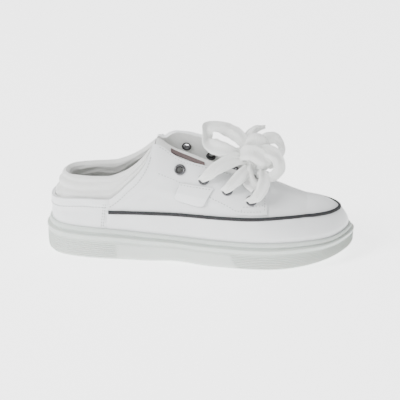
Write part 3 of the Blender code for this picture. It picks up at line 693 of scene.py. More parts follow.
def rubber(name, colour, shade):
    """Moulded pale rubber: satin, with a fine matte grain."""
    made, tree, principled = shader(name, colour, 0.5)
    cloud = texture(tree, "ShaderNodeTexNoise", 22, Detail=5.0, Roughness=0.6)
    vary_colour(tree, principled, cloud.outputs["Fac"], shade, colour)
    grain = texture(tree, "ShaderNodeTexNoise", 2200, Detail=2.0)
    add_bump(tree, principled, grain.outputs["Fac"], 0.00005, 0.6)
    principled.inputs["Subsurface Weight"].default_value = 0.03
    return made


def braid(name, colour, shade, pitch=0.0011):
    """A dark twisted cord, with painted shade in the grooves of its twist."""
    made, tree, principled = shader(name, colour, 0.75)
    twist = texture(tree, "ShaderNodeTexWave", 0.314 / pitch, Distortion=0.6)
    twist.bands_direction = "DIAGONAL"
    # Painted shade: where the twist's bump dips into a groove, the cord takes the darker colour
    vary_colour(tree, principled, twist.outputs["Fac"], shade, colour, 0.2, 0.8)
    add_bump(tree, principled, twist.outputs["Fac"], 0.0003, 0.7)
    return made


def metal(name, colour):
    made, tree, principled = shader(name, colour, 0.26, 1.0)
    wear = texture(tree, "ShaderNodeTexNoise", 700, Detail=4.0)
    scale = tree.nodes.new("ShaderNodeMapRange")
    scale.inputs["To Min"].default_value = 0.16
    scale.inputs["To Max"].default_value = 0.42
    tree.links.new(wear.outputs["Fac"], scale.inputs["Value"])
    tree.links.new(scale.outputs["Result"], principled.inputs["Roughness"])
    return made


WHITE = (0.80, 0.815, 0.82)
SKINS = {
    "leather": leather("white_leather", WHITE, (0.76, 0.775, 0.785)),
    "lining": fabric("lining_fabric", (0.77, 0.775, 0.76), (0.71, 0.715, 0.70)),
    "collar": fabric("collar_fabric", (0.76, 0.765, 0.75), (0.71, 0.715, 0.70), 0.0010),
    "footbed": fabric("footbed_fabric", (0.64, 0.64, 0.62), (0.58, 0.58, 0.56)),
    "rubber": rubber("sole_rubber", (0.57, 0.61, 0.575), (0.54, 0.58, 0.55)),
    "piping": braid("piping_cord", (0.022, 0.023, 0.025), (0.008, 0.008, 0.010)),
    "brown": fabric("label_brown", (0.135, 0.10, 0.097), (0.10, 0.075, 0.074), 0.0006, 0.0),
    "metal": metal("gunmetal", (0.13, 0.13, 0.135)),
    "lace": fabric("lace_ribbon", (0.83, 0.84, 0.82), (0.78, 0.79, 0.77), 0.0012, 0.35, 0.0003),
    "thread": fabric("thread", (0.46, 0.47, 0.47), (0.40, 0.41, 0.41), 0.0004, 0.1),
    "edge": leather("cut_edge", (0.30, 0.31, 0.32), (0.25, 0.26, 0.27)),
}


# Outsole


def rib_field(share, up):
    """Depth of the fine ribs moulded in the side at the heel and the forefoot."""
    heel = 1 - soft_step(share, 0.245, 0.012)
    slant = 0.615 + 0.045 * (0.55 - up)
    fore = soft_step(share, slant, 0.008)
    band = soft_step(up, 0.08, 0.04) * (1 - soft_step(up, 0.56, 0.04))
    wave = 0.5 - 0.5 * np.cos(2 * math.pi * up / 0.066)
    return (heel + fore) * band * wave


def make_outsole():
    turns = np.arange(2 * FINE) / FINE
    share = share_of(OUT.point(turns)[:, 0])
    ups = np.concatenate([np.linspace(0, 0.10, 6)[:-1], np.linspace(0.10, 0.58, 66)[:-1], np.linspace(0.58, 1, 34)])
    inset_at = smooth(SOLE_PROFILE, "inset", ups)
    rings = []
    for inset in (SOLE_PROFILE["inset"][0] + BORDER_WIDTH, SOLE_PROFILE["inset"][0] + 0.001):
        plan = OUT.point(turns, inset)
        rings.append(np.column_stack([plan, ground(share_of(plan[:, 0]))]))
    for up, inset in zip(ups, inset_at):
        crown = 0.0009 * max(0.0, (up - 0.9) / 0.1) ** 2
        depth = inset + 0.0009 * rib_field(share, up) + crown
        plan = OUT.point(turns, depth)
        here = share_of(plan[:, 0])
        rings.append(np.column_stack([plan, ground(here) + (rim(here) - ground(here)) * up]))
    for inset, height in ((BEAD_INSET + RIM_WALL, rim), (BEAD_INSET + RIM_WALL, cup_floor)):
        plan = OUT.point(turns, inset)
        rings.append(np.column_stack([plan, height(share_of(plan[:, 0]))]))
    count = 2 * FINE
    points = [tuple(p) for ring in rings for p in ring]
    faces = []
    for k in range(len(rings) - 1):
        for c in range(count):
            n = (c + 1) % count
            faces.append((k * count + c, k * count + n, (k + 1) * count + n, (k + 1) * count + c))
    across = 40
    for index, flip in ((0, True), (len(rings) - 1, False)):
        start = index * count
        ring = rings[index]
        strips = [[start]]
        for c in range(1, FINE):
            strip = [start + c]
            for k in range(1, across):
                spot = ring[c] + (ring[count - c] - ring[c]) * k / across
                if flip:
                    s = share_of(spot[0])
                    wave = math.sin(2 * math.pi * s * SOLE_LENGTH / 0.0065 + 1.2 * math.sin(spot[1] / 0.006))
                    spot[2] = ground(s) + GROOVE_DEPTH * 0.6 * (1 if wave > 0.45 else 0)
                else:
                    spot[2] = cup_floor(share_of(spot[0]))
                points.append(tuple(spot))
                strip.append(len(points) - 1)
            strips.append(strip + [start + count - c])
        strips.append([start + FINE])
        for one, two in zip(strips, strips[1:]):
            for k in range(across):
                quad = [one[min(k, len(one) - 1)], two[min(k, len(two) - 1)]]
                quad += [two[min(k + 1, len(two) - 1)], one[min(k + 1, len(one) - 1)]]
                face = [v for i, v in enumerate(quad) if v != quad[i - 1]]
                faces.append(face[::-1] if flip else face)
    made = add_mesh("cup_sole", points, faces, [SKINS["rubber"]], smooth_angle=70)
    return ride(made, "outsole", slot="sole_rubber")


def make_insole():
    inset = FEATHER + UPPER_WALL + GAP
    turns = np.arange(2 * FINE) / FINE
    rings = []
    for more, up in ((0, 0.1), (0, 0.75), (0.0008, 0.95), (0.0025, 1.0)):
        plan = OUT.point(turns, inset + more)
        rings.append(np.column_stack([plan, cup_floor(share_of(plan[:, 0])) + GAP + INSOLE_THICKNESS * up]))
    count = 2 * FINE
    points = [tuple(p) for ring in rings for p in ring]
    faces = []
    for k in range(len(rings) - 1):
        for c in range(count):
            n = (c + 1) % count
            faces.append((k * count + c, k * count + n, (k + 1) * count + n, (k + 1) * count + c))
    for index, flip in ((0, True), (len(rings) - 1, False)):
        start = index * count
        for c in range(FINE):
            quad = [start + c, start + c + 1, start + (count - c - 1) % count, start + (count - c) % count]
            face = [v for i, v in enumerate(quad) if v != quad[i - 1]]
            faces.append(face[::-1] if flip else face)
    made = add_mesh("footbed", points, faces, [SKINS["footbed"]])
    return ride(made, "insole", slot="footbed")


# Upper

# Soft creases of the leather: where along the shoe, at what height in millimetres, how
# long and wide in millimetres, how deep in millimetres, and their slope
CREASES = table(
    "along height long wide deep slope side",
    (0.100, 40, 22, 2.6, -0.35, 0.10, -1),
    (0.150, 47, 16, 2.2, -0.30, -0.20, -1),
    (0.300, 52, 20, 3.0, -0.40, 0.70, -1),
    (0.345, 62, 22, 3.2, -0.45, 0.90, -1),
    (0.420, 56, 24, 3.5, -0.35, -0.15, -1),
    (0.560, 50, 20, 3.0, -0.30, -0.35, -1),
    (0.745, 56, 12, 2.4, -0.45, -0.20, -1),
    (0.785, 52, 15, 2.6, -0.40, 0.10, -1),
    (0.830, 40, 14, 2.4, -0.25, 0.15, -1),
    (0.120, 42, 20, 2.6, -0.35, -0.10, 1),
    (0.310, 55, 20, 3.0, -0.40, 0.80, 1),
    (0.430, 55, 22, 3.4, -0.35, -0.20, 1),
    (0.760, 54, 14, 2.5, -0.40, -0.20, 1),
)


def relief(points, turn):
    """How far the leather stands out at each point: panels, seams, creases and waviness."""
    share = share_of(points[..., 0])
    height = points[..., 2] / MM
    side = np.where(np.mod(turn, 2) > 1, 1, -1)
    edge = COUNTER_EDGE - 0.012 * (1 - np.clip((height - 25) / 28, 0, 1)) * 0.9
    out = COUNTER_STEP * (1 - soft_step(share, edge, 0.004))
    out = out - 0.0006 * hump(share, edge + 0.0025, 0.0018)
    pipe = smooth(PIPING, "height", share) * INSTEP_HEIGHT / MM
    out = out + 0.0007 * (1 - soft_step(height, pipe, 2.0)) * soft_step(share, COUNTER_EDGE, 0.01)
    for row in zip(*(CREASES[c] for c in ("along", "height", "long", "wide", "deep", "slope", "side"))):
        along, up, length, width, deep, slope, where = row
        run = (share - along) * SOLE_LENGTH / MM
        rise = height - up - slope * run
        dent = np.exp(-((run / length) ** 2)) * np.exp(-((rise / width) ** 2))
        out = out + MM * deep * dent * (side == where)
        out = out - 0.6 * MM * deep * np.exp(-((run / length) ** 2)) * hump(rise, width * 1.9, width) * (side == where)
    out = out + 0.00032 * ripple(points, 38) + 0.00012 * ripple(points, 120, 3.0)
    return out


def make_upper():
    count = 2 * FINE
    turns = np.arange(count) / FINE
    edge = upper_edge(turns)
    closed = edge >= math.pi / 2 - 1e-6
    share = share_of(OUT.point(turns, FEATHER)[:, 0])
    rows = np.linspace(0, 1, UPPER_ROWS)
    angle = RIM_ANGLE + (edge[:, None] - RIM_ANGLE) * rows[None]
    turn = np.broadcast_to(turns[:, None], angle.shape)
    base = LAST.point(turn, angle)
    normal = LAST.normal(turn, angle)
    out = relief(base, turn)
    from_rim = np.clip((base[..., 2] - rim(share)[:, None]) / 0.004, 0, 1)
    out = out * from_rim
    to_edge = (1 - rows)[None] * np.linalg.norm(base[:, -1] - base[:, 0], axis=1)[:, None]
    open_top = (~closed)[:, None]
    turned = np.where(open_top, 0.0003 * (1 - soft_step(to_edge, 0.0068, 0.0012)), 0)
    layers = []
    for which in (0, 1):
        grid = base + normal * (out + turned)[..., None] if which == 0 else base - normal * UPPER_WALL
        plan = OUT.point(turns, FEATHER + which * UPPER_WALL)
        foot = np.column_stack([plan, cup_floor(share) + GAP])
        layers.append(np.concatenate([foot[:, None], grid], axis=1))
    points, ids = [], []
    high = UPPER_ROWS
    for grid in layers:
        number = np.zeros((count, high + 1), int)
        tops = {}
        for c in range(count):
            for r in range(high + 1):
                if r == high and closed[c]:
                    key = "pole" if LAST.in_fan(turns[c]) else min(c, count - c)
                    tops.setdefault(key, []).append(c)
                    continue
                number[c, r] = len(points)
                points.append(grid[c, r])
        for members in tops.values():
            points.append(np.mean([grid[c, high] for c in members], axis=0))
            for c in members:
                number[c, high] = len(points) - 1
        ids.append(number)
    outer, inner = ids
    faces, skin_of = [], []
    for c in range(count):
        n = (c + 1) % count
        for r in range(high):
            for grid, flip in ((outer, False), (inner, True)):
                quad = [grid[c, r], grid[n, r], grid[n, r + 1], grid[c, r + 1]]
                face = [int(v) for i, v in enumerate(quad) if v != quad[i - 1]]
                faces.append(face[::-1] if flip else face)
                skin_of.append(1 if flip else 0)
        faces.append([int(v) for v in (inner[c, 0], inner[n, 0], outer[n, 0], outer[c, 0])])
        skin_of.append(0)
        if not (closed[c] and closed[n]):
            faces.append([int(v) for v in (outer[c, high], outer[n, high], inner[n, high], inner[c, high])])
            skin_of.append(0)
    made = add_mesh("leather_upper", points, faces, [SKINS["leather"], SKINS["lining"]], skin_of)
    round_edges(made, 0.0006, 3, 60)
    return ride(made, "upper", slot="white_leather")


def cut_holes(body, radius, side):
    """Round holes through a wall, one for each eyelet of a side."""
    for index in range(len(EYELETS["along"])):
        spot, normal = eyelet_spot(index, side)
        bpy.ops.mesh.primitive_cylinder_add(vertices=40, radius=radius, depth=0.012, location=spot)
        drill = bpy.context.object
        drill.rotation_mode = "QUATERNION"
        drill.rotation_quaternion = normal.to_track_quat("Z", "Y")
        cut = body.modifiers.new("hole", "BOOLEAN")
        cut.solver = "EXACT"
        cut.object = drill
        bpy.context.view_layer.objects.active = body
        bpy.ops.object.modifier_apply(modifier=cut.name)
        bpy.data.objects.remove(drill)


def eyelet_spot(index, side):
    turn = LAST.turn_at(EYELETS["along"][index], side)
    angle = LAST.angle_at_height(turn, INSTEP_HEIGHT * EYELETS["height"][index])
    return Vector(LAST.point(turn, angle)), Vector(LAST.normal(turn, angle))


def side_turns(side, first, last, count):
    return LAST.turn_at(np.linspace(first, last, count), side)


def make_eyestay(name, node, side):
    turns = side_turns(side, FLAP_BACK + 0.004, EYESTAY_FRONT - 0.006, 110)
    if side > 0:
        turns = turns[::-1]
    shares = share_of(OUT.point(turns, FEATHER)[:, 0])
    top = upper_edge(turns) - 0.012
    low = LAST.angle_at_height(turns, INSTEP_HEIGHT * smooth(EYESTAY_EDGE, "height", shares))
    rows = np.linspace(0, 1, 34)
    angle = low[:, None] + (top - low)[:, None] * rows[None]
    turn = np.broadcast_to(turns[:, None], angle.shape)
    base = LAST.point(turn, angle)
    normal = LAST.normal(turn, angle)
    out = relief(base, turn)
    height = EYESTAY_THICKNESS + 0.0002 * ripple(base, 90, 5.0)
    outer = base + normal * (out + OVERLAY_GAP * 0.5 + height)[..., None]
    inner = base + normal * (out + OVERLAY_GAP * 0.5)[..., None]
    made = plate(name, outer, inner, [SKINS["leather"]])
    cut_holes(made, EYELET_BARREL + GAP, side)
    round_edges(made, 0.0005, 3, 60)
    return ride(made, node, slot="white_leather")


def surface_line(turns, angles, lift):
    """Points and normals along the last, lifted off the leather's relief."""
    base = LAST.point(turns, angles)
    normal = LAST.normal(turns, angles)
    out = relief(base, turns)
    return base + normal * (out + lift)[:, None], normal


def make_piping():
    start = LAST.turn_at(COUNTER_EDGE + 0.002, -1)
    end = LAST.turn_at(COUNTER_EDGE + 0.002, 1)
    turns = np.linspace(start, end, 520)
    share = share_of(OUT.point(turns, FEATHER)[:, 0])
    angle = LAST.angle_at_height(turns, INSTEP_HEIGHT * smooth(PIPING, "height", share))
    centre = LAST.point(turns, angle)
    normal = LAST.normal(turns, angle)
    rise = LAST.tangents(turns, angle)[1]
    sides = 16
    points, faces = [], []
    for i in range(len(turns)):
        for k in range(sides):
            a = 2 * math.pi * k / sides
            across = math.cos(a) * PIPING_WIDTH / 2
            lift = 0.0009 + math.sin(a) * 0.0012
            points.append(centre[i] + rise[i] * across + normal[i] * lift)
    for i in range(len(turns) - 1):
        for k in range(sides):
            n = (k + 1) % sides
            faces.append((i * sides + k, i * sides + n, (i + 1) * sides + n, (i + 1) * sides + k))
    faces.append(tuple(reversed(range(sides))))
    faces.append(tuple(range((len(turns) - 1) * sides, len(turns) * sides)))
    made = add_mesh("vamp_piping", points, faces, [SKINS["piping"]])
    return ride(made, "piping", slot="piping_cord")


def stitch_row(points, normals, pitch=0.0027, length=0.0019, radius=0.00033):
    """Short threads laid end to end along a line, each dipping into the leather at its ends."""
    run = np.concatenate([[0], np.cumsum(np.linalg.norm(np.diff(points, axis=0), axis=1))])
    verts, faces = [], []
    sides = 6
    for start in np.arange(pitch * 0.3, run[-1] - length, pitch):
        steps = np.linspace(0, 1, 5)
        at = start + steps * length
        spine = np.column_stack([np.interp(at, run, points[:, k]) for k in range(3)])
        up = np.column_stack([np.interp(at, run, normals[:, k]) for k in range(3)])
        up = unit(up)
        ahead = unit(np.gradient(spine, axis=0))
        cross = np.cross(ahead, up)
        first = len(verts)
        for j, s in enumerate(steps):
            fat = radius * (0.45 + 0.55 * math.sin(math.pi * s) ** 0.5)
            sink = -radius * 1.1 * (2 * s - 1) ** 2
            for k in range(sides):
                a = 2 * math.pi * k / sides
                verts.append(spine[j] + up[j] * (sink + fat * math.sin(a)) + cross[j] * fat * math.cos(a))
        for j in range(len(steps) - 1):
            for k in range(sides):
                n = (k + 1) % sides
                a, b = first + j * sides, first + (j + 1) * sides
                faces.append((a + k, b + k, b + n, a + n))
        faces.append(tuple(first + k for k in range(sides)))
        faces.append(tuple(first + (len(steps) - 1) * sides + k for k in reversed(range(sides))))
    return verts, faces


def make_stitches(name, rows, skin, slot):
    verts, faces = [], []
    for points, normals in rows:
        more, quads = stitch_row(points, normals)
        faces += [tuple(v + len(verts) for v in quad) for quad in quads]
        verts += more
    made = add_mesh(name, verts, faces, [SKINS[skin]])
    return ride(made, slot=slot)


def seam_rows():
    """The lines of the visible stitching, both sides alike."""
    rows = []
    for side in (-1, 1):
        turns = side_turns(side, 0.006, 0.352, 160)
        share = share_of(OUT.point(turns, FEATHER)[:, 0])
        line = INSTEP_HEIGHT * smooth(TOPLINE, "height", share) - 0.0068
        rows.append(surface_line(turns, LAST.angle_at_height(turns, line), 0.0003))
        for shift in (-0.012, -0.0055):
            heights = np.linspace(0.0285, 0.0515, 40)
            lean = 0.011 * (1 - (heights - 0.025) / 0.028)
            shares = COUNTER_EDGE + shift - lean
            turns = LAST.turn_at(shares, side)
            rows.append(surface_line(turns, LAST.angle_at_height(turns, heights), 0.0002))
        over = OVERLAY_GAP * 0.5 + EYESTAY_THICKNESS + 0.0001
        turns = side_turns(side, FLAP_BACK + 0.012, EYESTAY_FRONT - 0.016, 120)
        share = share_of(OUT.point(turns, FEATHER)[:, 0])
        low = INSTEP_HEIGHT * smooth(EYESTAY_EDGE, "height", share) + 0.0022
        rows.append(surface_line(turns, LAST.angle_at_height(turns, low), over))
        top = upper_edge(turns)
        rows.append(surface_line(turns, top - 0.055, over))
        front = LAST.turn_at(EYESTAY_FRONT - 0.014, side)
        angles = np.linspace(
            float(LAST.angle_at_height(front, INSTEP_HEIGHT * 0.462)), float(upper_edge(np.array([front]))[0]) - 0.06, 40
        )
        rows.append(surface_line(np.full(40, front), angles, over))
        box_height = INSTEP_HEIGHT * 0.500
        turns = side_turns(side, 0.652, EYESTAY_FRONT - 0.016, 30)
        rows.append(surface_line(turns, LAST.angle_at_height(turns, box_height), over))
        back = LAST.turn_at(0.652, side)
        heights = np.linspace(INSTEP_HEIGHT * 0.462, box_height, 20)
        rows.append(surface_line(np.full(20, back), LAST.angle_at_height(back, heights), over))
    return rows


def make_eyelet(index, side):
    """A rolled metal ring on the overlay, with its barrel through the wall."""
    face = OVERLAY_GAP + EYESTAY_THICKNESS + 0.0002
    section = [
        (EYELET_BORE, -0.0030),
        (EYELET_BORE + 0.0014, -0.0032),
        (EYELET_BARREL, -0.0026),
        (EYELET_BARREL, face - 0.0004),
        (EYELET_RADIUS, face - 0.0003),
    ]
    for k in range(9):
        a = math.pi * k / 8
        mid = (EYELET_RADIUS + EYELET_BORE) / 2
        half = (EYELET_RADIUS - EYELET_BORE) / 2
        section.append((mid + half * math.cos(a), face + 0.0010 * math.sin(a)))
    sides = 48
    points, faces = [], []
    for k in range(sides):
        turn = 2 * math.pi * k / sides
        points += [(r * math.cos(turn), r * math.sin(turn), z) for r, z in section]
    size = len(section)
    for k in range(sides):
        m = (k + 1) % sides
        for i in range(size):
            n = (i + 1) % size
            faces.append((k * size + i, m * size + i, m * size + n, k * size + n))
    word = "lateral" if side < 0 else "medial"
    made = add_mesh(f"ring_{word}_{index + 1}", points, faces, [SKINS["metal"]])
    spot, normal = eyelet_spot(index, side)
    made.location = spot
    made.rotation_mode = "QUATERNION"
    made.rotation_quaternion = normal.to_track_quat("Z", "Y")
    return ride(made, f"eyelet_{word}_{index + 1}", slot="gunmetal")


# Collar, tongue and label


def make_collar():
    """The slumped padded band, with its wrinkles, inside the low counter."""
    start = LAST.turn_at(COLLAR["along"][-1], 1) - 2
    end = LAST.turn_at(COLLAR["along"][-1], -1)
    turns = np.linspace(start, end, 420)
    share = share_of(OUT.point(turns, FEATHER)[:, 0])
    top = INSTEP_HEIGHT * smooth(COLLAR, "top", share)
    line = INSTEP_HEIGHT * smooth(TOPLINE, "height", share)
    low = line - COLLAR_TUCK
    lean = COLLAR_LEAN * smooth(COLLAR, "lean", share)
    run = turns * 0.31
    ups = 1 - np.linspace(1, 0, 46) ** 1.3
    pads = smooth(COLLAR_SECTION, "pad", ups)
    outer, inner = [], []
    for up, pad in zip(ups, pads):
        height = low + (top - low) * up
        angle = LAST.angle_at_height(turns, height)
        above = np.clip((height - line) / (top - line), 0, 1)
        face = UPPER_WALL + COLLAR_CLEARANCE + lean * above
        thick = COLLAR_LINING + (COLLAR_PAD - COLLAR_LINING) * pad
        rounding = 0.0016 * max(0.0, (up - 0.9) / 0.1) ** 2
        base = LAST.point(turns, angle)
        heel = np.exp(-((share / 0.16) ** 2))
        wave = above + 0.10 * ripple(base, 45, 7.0)
        fold = 0.0016 * hump(wave, 0.16, 0.10) - 0.0013 * hump(wave, 0.36, 0.07)
        fold = fold + 0.0010 * hump(wave, 0.56, 0.10) - 0.0010 * hump(wave, 0.74, 0.06)
        fold = fold * (0.35 + 0.65 * heel) * np.clip(above * 6, 0, 1)
        pinch = 0.0022 * hump(turns, 0.062, 0.010) - 0.0016 * hump(turns, 0.086, 0.010)
        pinch = pinch * hump(above, 0.12, 0.22) * np.clip(above * 8, 0, 1)
        fine = 0.0005 * ripple(base * np.array([1, 1, 2.2]), 110, 1.0) * np.clip(above * 6, 0, 1)
        outer.append(LAST.point(turns, angle, face + rounding - fold - pinch - fine))
        inner.append(LAST.point(turns, angle, face + thick - 0.5 * rounding - 0.6 * fold + fine))
    made = plate("soft_collar", np.stack(outer, axis=1), np.stack(inner, axis=1), [SKINS["collar"]])
    round_edges(made, 0.0010, 3, 60)
    return ride(made, "collar", slot="collar_fabric")


def tongue_depth(share, angle):
    between = np.clip((angle - TONGUE_LIMIT) / (math.pi / 2 - TONGUE_LIMIT), 0, 1)
    sag = TONGUE_SAG * np.clip((TONGUE_CREST - share) / TONGUE_SLOPE, 0, 1)
    return UPPER_WALL + TONGUE_CLEARANCE + sag * (0.35 + 0.65 * np.sqrt(between))


def tongue_grid(shares, across, lift):
    """Points of the tongue's face, lifted off it. Across runs -1 lateral to +1 medial."""
    columns = []
    for s in shares:
        column = []
        for a in across:
            turn = FORM.turn_at(s, -1 if a < 0 else 1)
            angle = TONGUE_LIMIT + (math.pi / 2 - TONGUE_LIMIT) * (1 - abs(a))
            column.append(FORM.point(turn, angle, tongue_depth(s, angle) - lift))
        columns.append(column)
    return np.array(columns)


def make_tongue():
    shares = np.linspace(TONGUE_BACK, TONGUE_FRONT, 64)
    across = np.linspace(-1, 1, 50)
    outer = tongue_grid(shares, across, 0)
    inner = tongue_grid(shares, across, -TONGUE_THICKNESS)
    puff = 0.0005 * ripple(outer, 60, 2.0)
    outer = outer + puff[..., None] * np.array([0, 0, 1])
    made = plate("padded_tongue", outer, inner, [SKINS["collar"]])
    round_edges(made, 0.0012, 4, 50)
    return ride(made, "tongue", slot="collar_fabric")


def make_label():
    shares = np.linspace(LABEL_ALONG[0] + 0.014, LABEL_ALONG[1], 40)
    across = np.linspace(LABEL_ACROSS[0], LABEL_ACROSS[1] - 0.12, 8)
    outer = tongue_grid(shares, across, LABEL_SEAT + LABEL_THICKNESS)
    inner = tongue_grid(shares, across, GAP * 0.2)
    made = plate("tongue_strip", outer, inner, [SKINS["brown"]])
    return ride(made, "tongue_label", slot="label_brown")


def tag_grid(lift, count):
    corners = [np.array(c) for c in zip(*(TAG_CORNERS[k] for k in ("along", "height", "lift")))]
    top_left, low_left, low_right, top_right = corners
    columns = []
    for u in np.linspace(0, 1, count):
        high = top_left + (top_right - top_left) * u
        low = low_left + (low_right - low_left) * u
        corner = 0.12 * (abs(2 * u - 1) ** 6)
        column = []
        for v in np.linspace(corner, 1, count):
            share, height, over = low + (high - low) * v
            turn = LAST.turn_at(share, -1)
            angle = LAST.angle_at_height(turn, INSTEP_HEIGHT * height)
            seat = OVERLAY_GAP + (EYESTAY_THICKNESS + TAG_SEAT) * np.clip(over / TAG_SKIRT, 0, 1)
            column.append(LAST.point(turn, angle, -seat - lift))
        columns.append(column)
    return np.array(columns)


def make_tag():
    made = plate("side_tag_bare", tag_grid(TAG_THICKNESS, 30), tag_grid(0.0, 30), [SKINS["leather"]])
    round_edges(made, 0.0004, 2, 60)
    ride(made, "side_tag", slot="white_leather")
    top = tag_grid(TAG_THICKNESS + 0.0001, 30)
    row = top[:, 26]
    normal = unit(np.cross(np.gradient(row, axis=0), top[:, 28] - top[:, 24]))
    make_stitches("tag_stitches", [(row, normal)], "thread", "white_leather")
    side = tag_grid(TAG_THICKNESS * 0.5, 30)
    border = np.concatenate([side[0, 22::-1], side[1:-1, 0], side[-1, :24]])
    inside = side.reshape(-1, 3).mean(axis=0)
    outward = unit(border - inside)
    verts, faces = stitch_row(border, outward, 0.0010, 0.00105, 0.00034)
    made = add_mesh("tag_cut_edge", verts, faces, [SKINS["edge"]])
    return ride(made, slot="white_leather")


# Laces


def curve_through(route, steps):
    """A smooth even path through route points, with every column carried along."""
    points = np.array(route, float)
    ends = np.vstack([2 * points[0] - points[1], points, 2 * points[-1] - points[-2]])
    t = np.linspace(0, 1, 16, endpoint=False)[:, None]
    path = []
    for i in range(1, len(ends) - 2):
        a, b, c, d = ends[i - 1 : i + 3]
        path.append(0.5 * (2 * b + (c - a) * t + (2 * a - 5 * b + 4 * c - d) * t**2 + (3 * b - a - 3 * c + d) * t**3))
    path = np.vstack(path + [points[-1:]])
    run = np.concatenate([[0], np.cumsum(np.linalg.norm(np.diff(path[:, :3], axis=0), axis=1))])
    even = np.linspace(0, run[-1], steps)
    return np.column_stack([np.interp(even, run, path[:, k]) for k in range(path.shape[1])]), run[-1]


# Each ribbon's route in millimetres: place, the way its flat side faces, and its width
RIBBONS = {
    "lace_strand_2": [
        (3, -25.0, 70.5, -0.1, -0.7, 0.7, 5),
        (4, -28.5, 74.5, -0.1, -0.8, 0.6, 6),
        (10, -29.5, 79.0, 0.0, -0.85, 0.5, 10),
        (19, -25.0, 85.0, 0.1, -0.8, 0.6, 12),
        (30, -17.0, 88.0, 0.1, -0.7, 0.7, 12),
        (40, -9.0, 86.0, 0.2, -0.6, 0.8, 9),
    ],
    "lace_strand_3": [
        (22.5, -27.0, 63.0, -0.1, -0.7, 0.7, 5),
        (24, -32.0, 66.5, -0.1, -0.8, 0.6, 6),
        (30, -32.0, 71.0, 0.0, -0.85, 0.5, 9),
        (37, -26.0, 77.0, 0.1, -0.8, 0.6, 11),
        (43, -16.0, 81.0, 0.2, -0.7, 0.7, 9),
    ],
    "lace_strand_4": [
        (43, -30.0, 55.0, -0.1, -0.7, 0.7, 5),
        (45, -34.5, 58.5, 0.0, -0.8, 0.6, 6),
        (53, -33.5, 63.0, 0.2, -0.85, 0.5, 9),
        (58, -26.0, 72.0, 0.5, -0.7, 0.5, 11),
        (56, -16.0, 79.0, 0.5, -0.4, 0.8, 10),
    ],
    "lace_strand_5": [
        (5, 18.0, 70.0, 0, 0.7, 0.7, 5),
        (7, 25.0, 78.0, 0, 0.7, 0.7, 8),
        (22, 18.0, 86.0, 0.1, 0.5, 0.9, 11),
        (38, 6.0, 88.0, 0.1, 0.3, 0.9, 9),
    ],
    "lace_strand_6": [
        (45, 25.0, 54.0, 0, 0.7, 0.7, 5),
        (48, 30.0, 61.0, 0, 0.7, 0.7, 8),
        (52, 20.0, 72.0, 0.2, 0.6, 0.8, 10),
        (50, 6.0, 80.0, 0.1, 0.3, 0.9, 9),
    ],
    "bow_loop_back": [
        (38, -9, 88, -0.2, -0.8, 0.6, 9),
        (27, -13, 95, 0.1, -0.9, 0.5, 12),
        (14, -15, 100, 0.3, -0.9, 0.4, 14),
        (6, -10, 105, 0.8, -0.5, 0.5, 13),
        (8, -3, 111, 0.4, -0.4, 0.9, 12),
        (20, -1, 113, -0.1, -0.6, 0.8, 13),
        (33, -3, 106, -0.3, -0.7, 0.7, 12),
        (42, -5, 96, -0.3, -0.8, 0.5, 9),
    ],
    "bow_loop_front": [
        (49, -8, 90, 0.1, -0.6, 0.8, 9),
        (58, -12, 96, 0.2, -0.8, 0.6, 12),
        (67, -14, 92, 0.7, -0.6, 0.4, 13),
        (69, -15, 82, 0.8, -0.6, 0.0, 12),
        (61, -17, 74, 0.4, -0.9, -0.2, 11),
        (51, -15, 77, -0.2, -0.9, 0.2, 9),
    ],
    "bow_loop_far": [
        (46, 2, 90, 0, -0.4, 0.9, 9),
        (53, 10, 98, 0.1, -0.6, 0.8, 12),
        (64, 14, 99, 0.5, -0.6, 0.6, 12),
        (70, 10, 90, 0.9, -0.3, 0.3, 12),
        (62, 3, 82, 0.6, -0.7, -0.2, 10),
        (52, 0, 83, 0.2, -0.8, 0.2, 8),
    ],
    "bow_fold_front": [
        (36, -9, 90, -0.2, -0.8, 0.6, 10),
        (40, -16, 95, -0.1, -0.8, 0.6, 13),
        (48, -18, 96, 0.1, -0.8, 0.6, 14),
        (56, -17, 89, 0.5, -0.8, 0.3, 13),
        (54, -13, 82, 0.6, -0.8, 0.1, 9),
    ],
    "bow_fold_top": [
        (39, -4, 92, -0.3, -0.5, 0.8, 10),
        (43, -7, 101, -0.2, -0.7, 0.7, 13),
        (51, -7, 104, 0.2, -0.7, 0.7, 14),
        (58, -4, 98, 0.6, -0.6, 0.5, 12),
        (53, -3, 90, 0.6, -0.6, 0.3, 9),
    ],
    "bow_end_front": [
        (44, -10, 86, 0, -0.9, 0.4, 9),
        (42, -17, 80, -0.1, -0.9, 0.3, 11),
        (45, -23, 72, 0, -0.9, 0.4, 12),
        (51, -27, 67, 0.2, -0.8, 0.6, 11),
    ],
    "bow_end_far": [
        (43, 0, 94, 0, -0.5, 0.8, 8),
        (42, 8, 102, -0.2, -0.6, 0.7, 10),
        (46, 15, 106, 0, -0.6, 0.8, 6),
        (54, 20, 107, 0, -0.6, 0.8, 2.4),
    ],
}
RIBBON_NODES = {
    "lace_strand_2": "lace_bar_1",
    "lace_strand_3": "lace_bar_2",
    "lace_strand_4": "lace_bar_3",
    "bow_loop_back": "lace_loop_back",
    "bow_loop_front": "lace_loop_front",
    "bow_loop_far": "lace_loop_far",
    "bow_end_far": "lace_end",
}


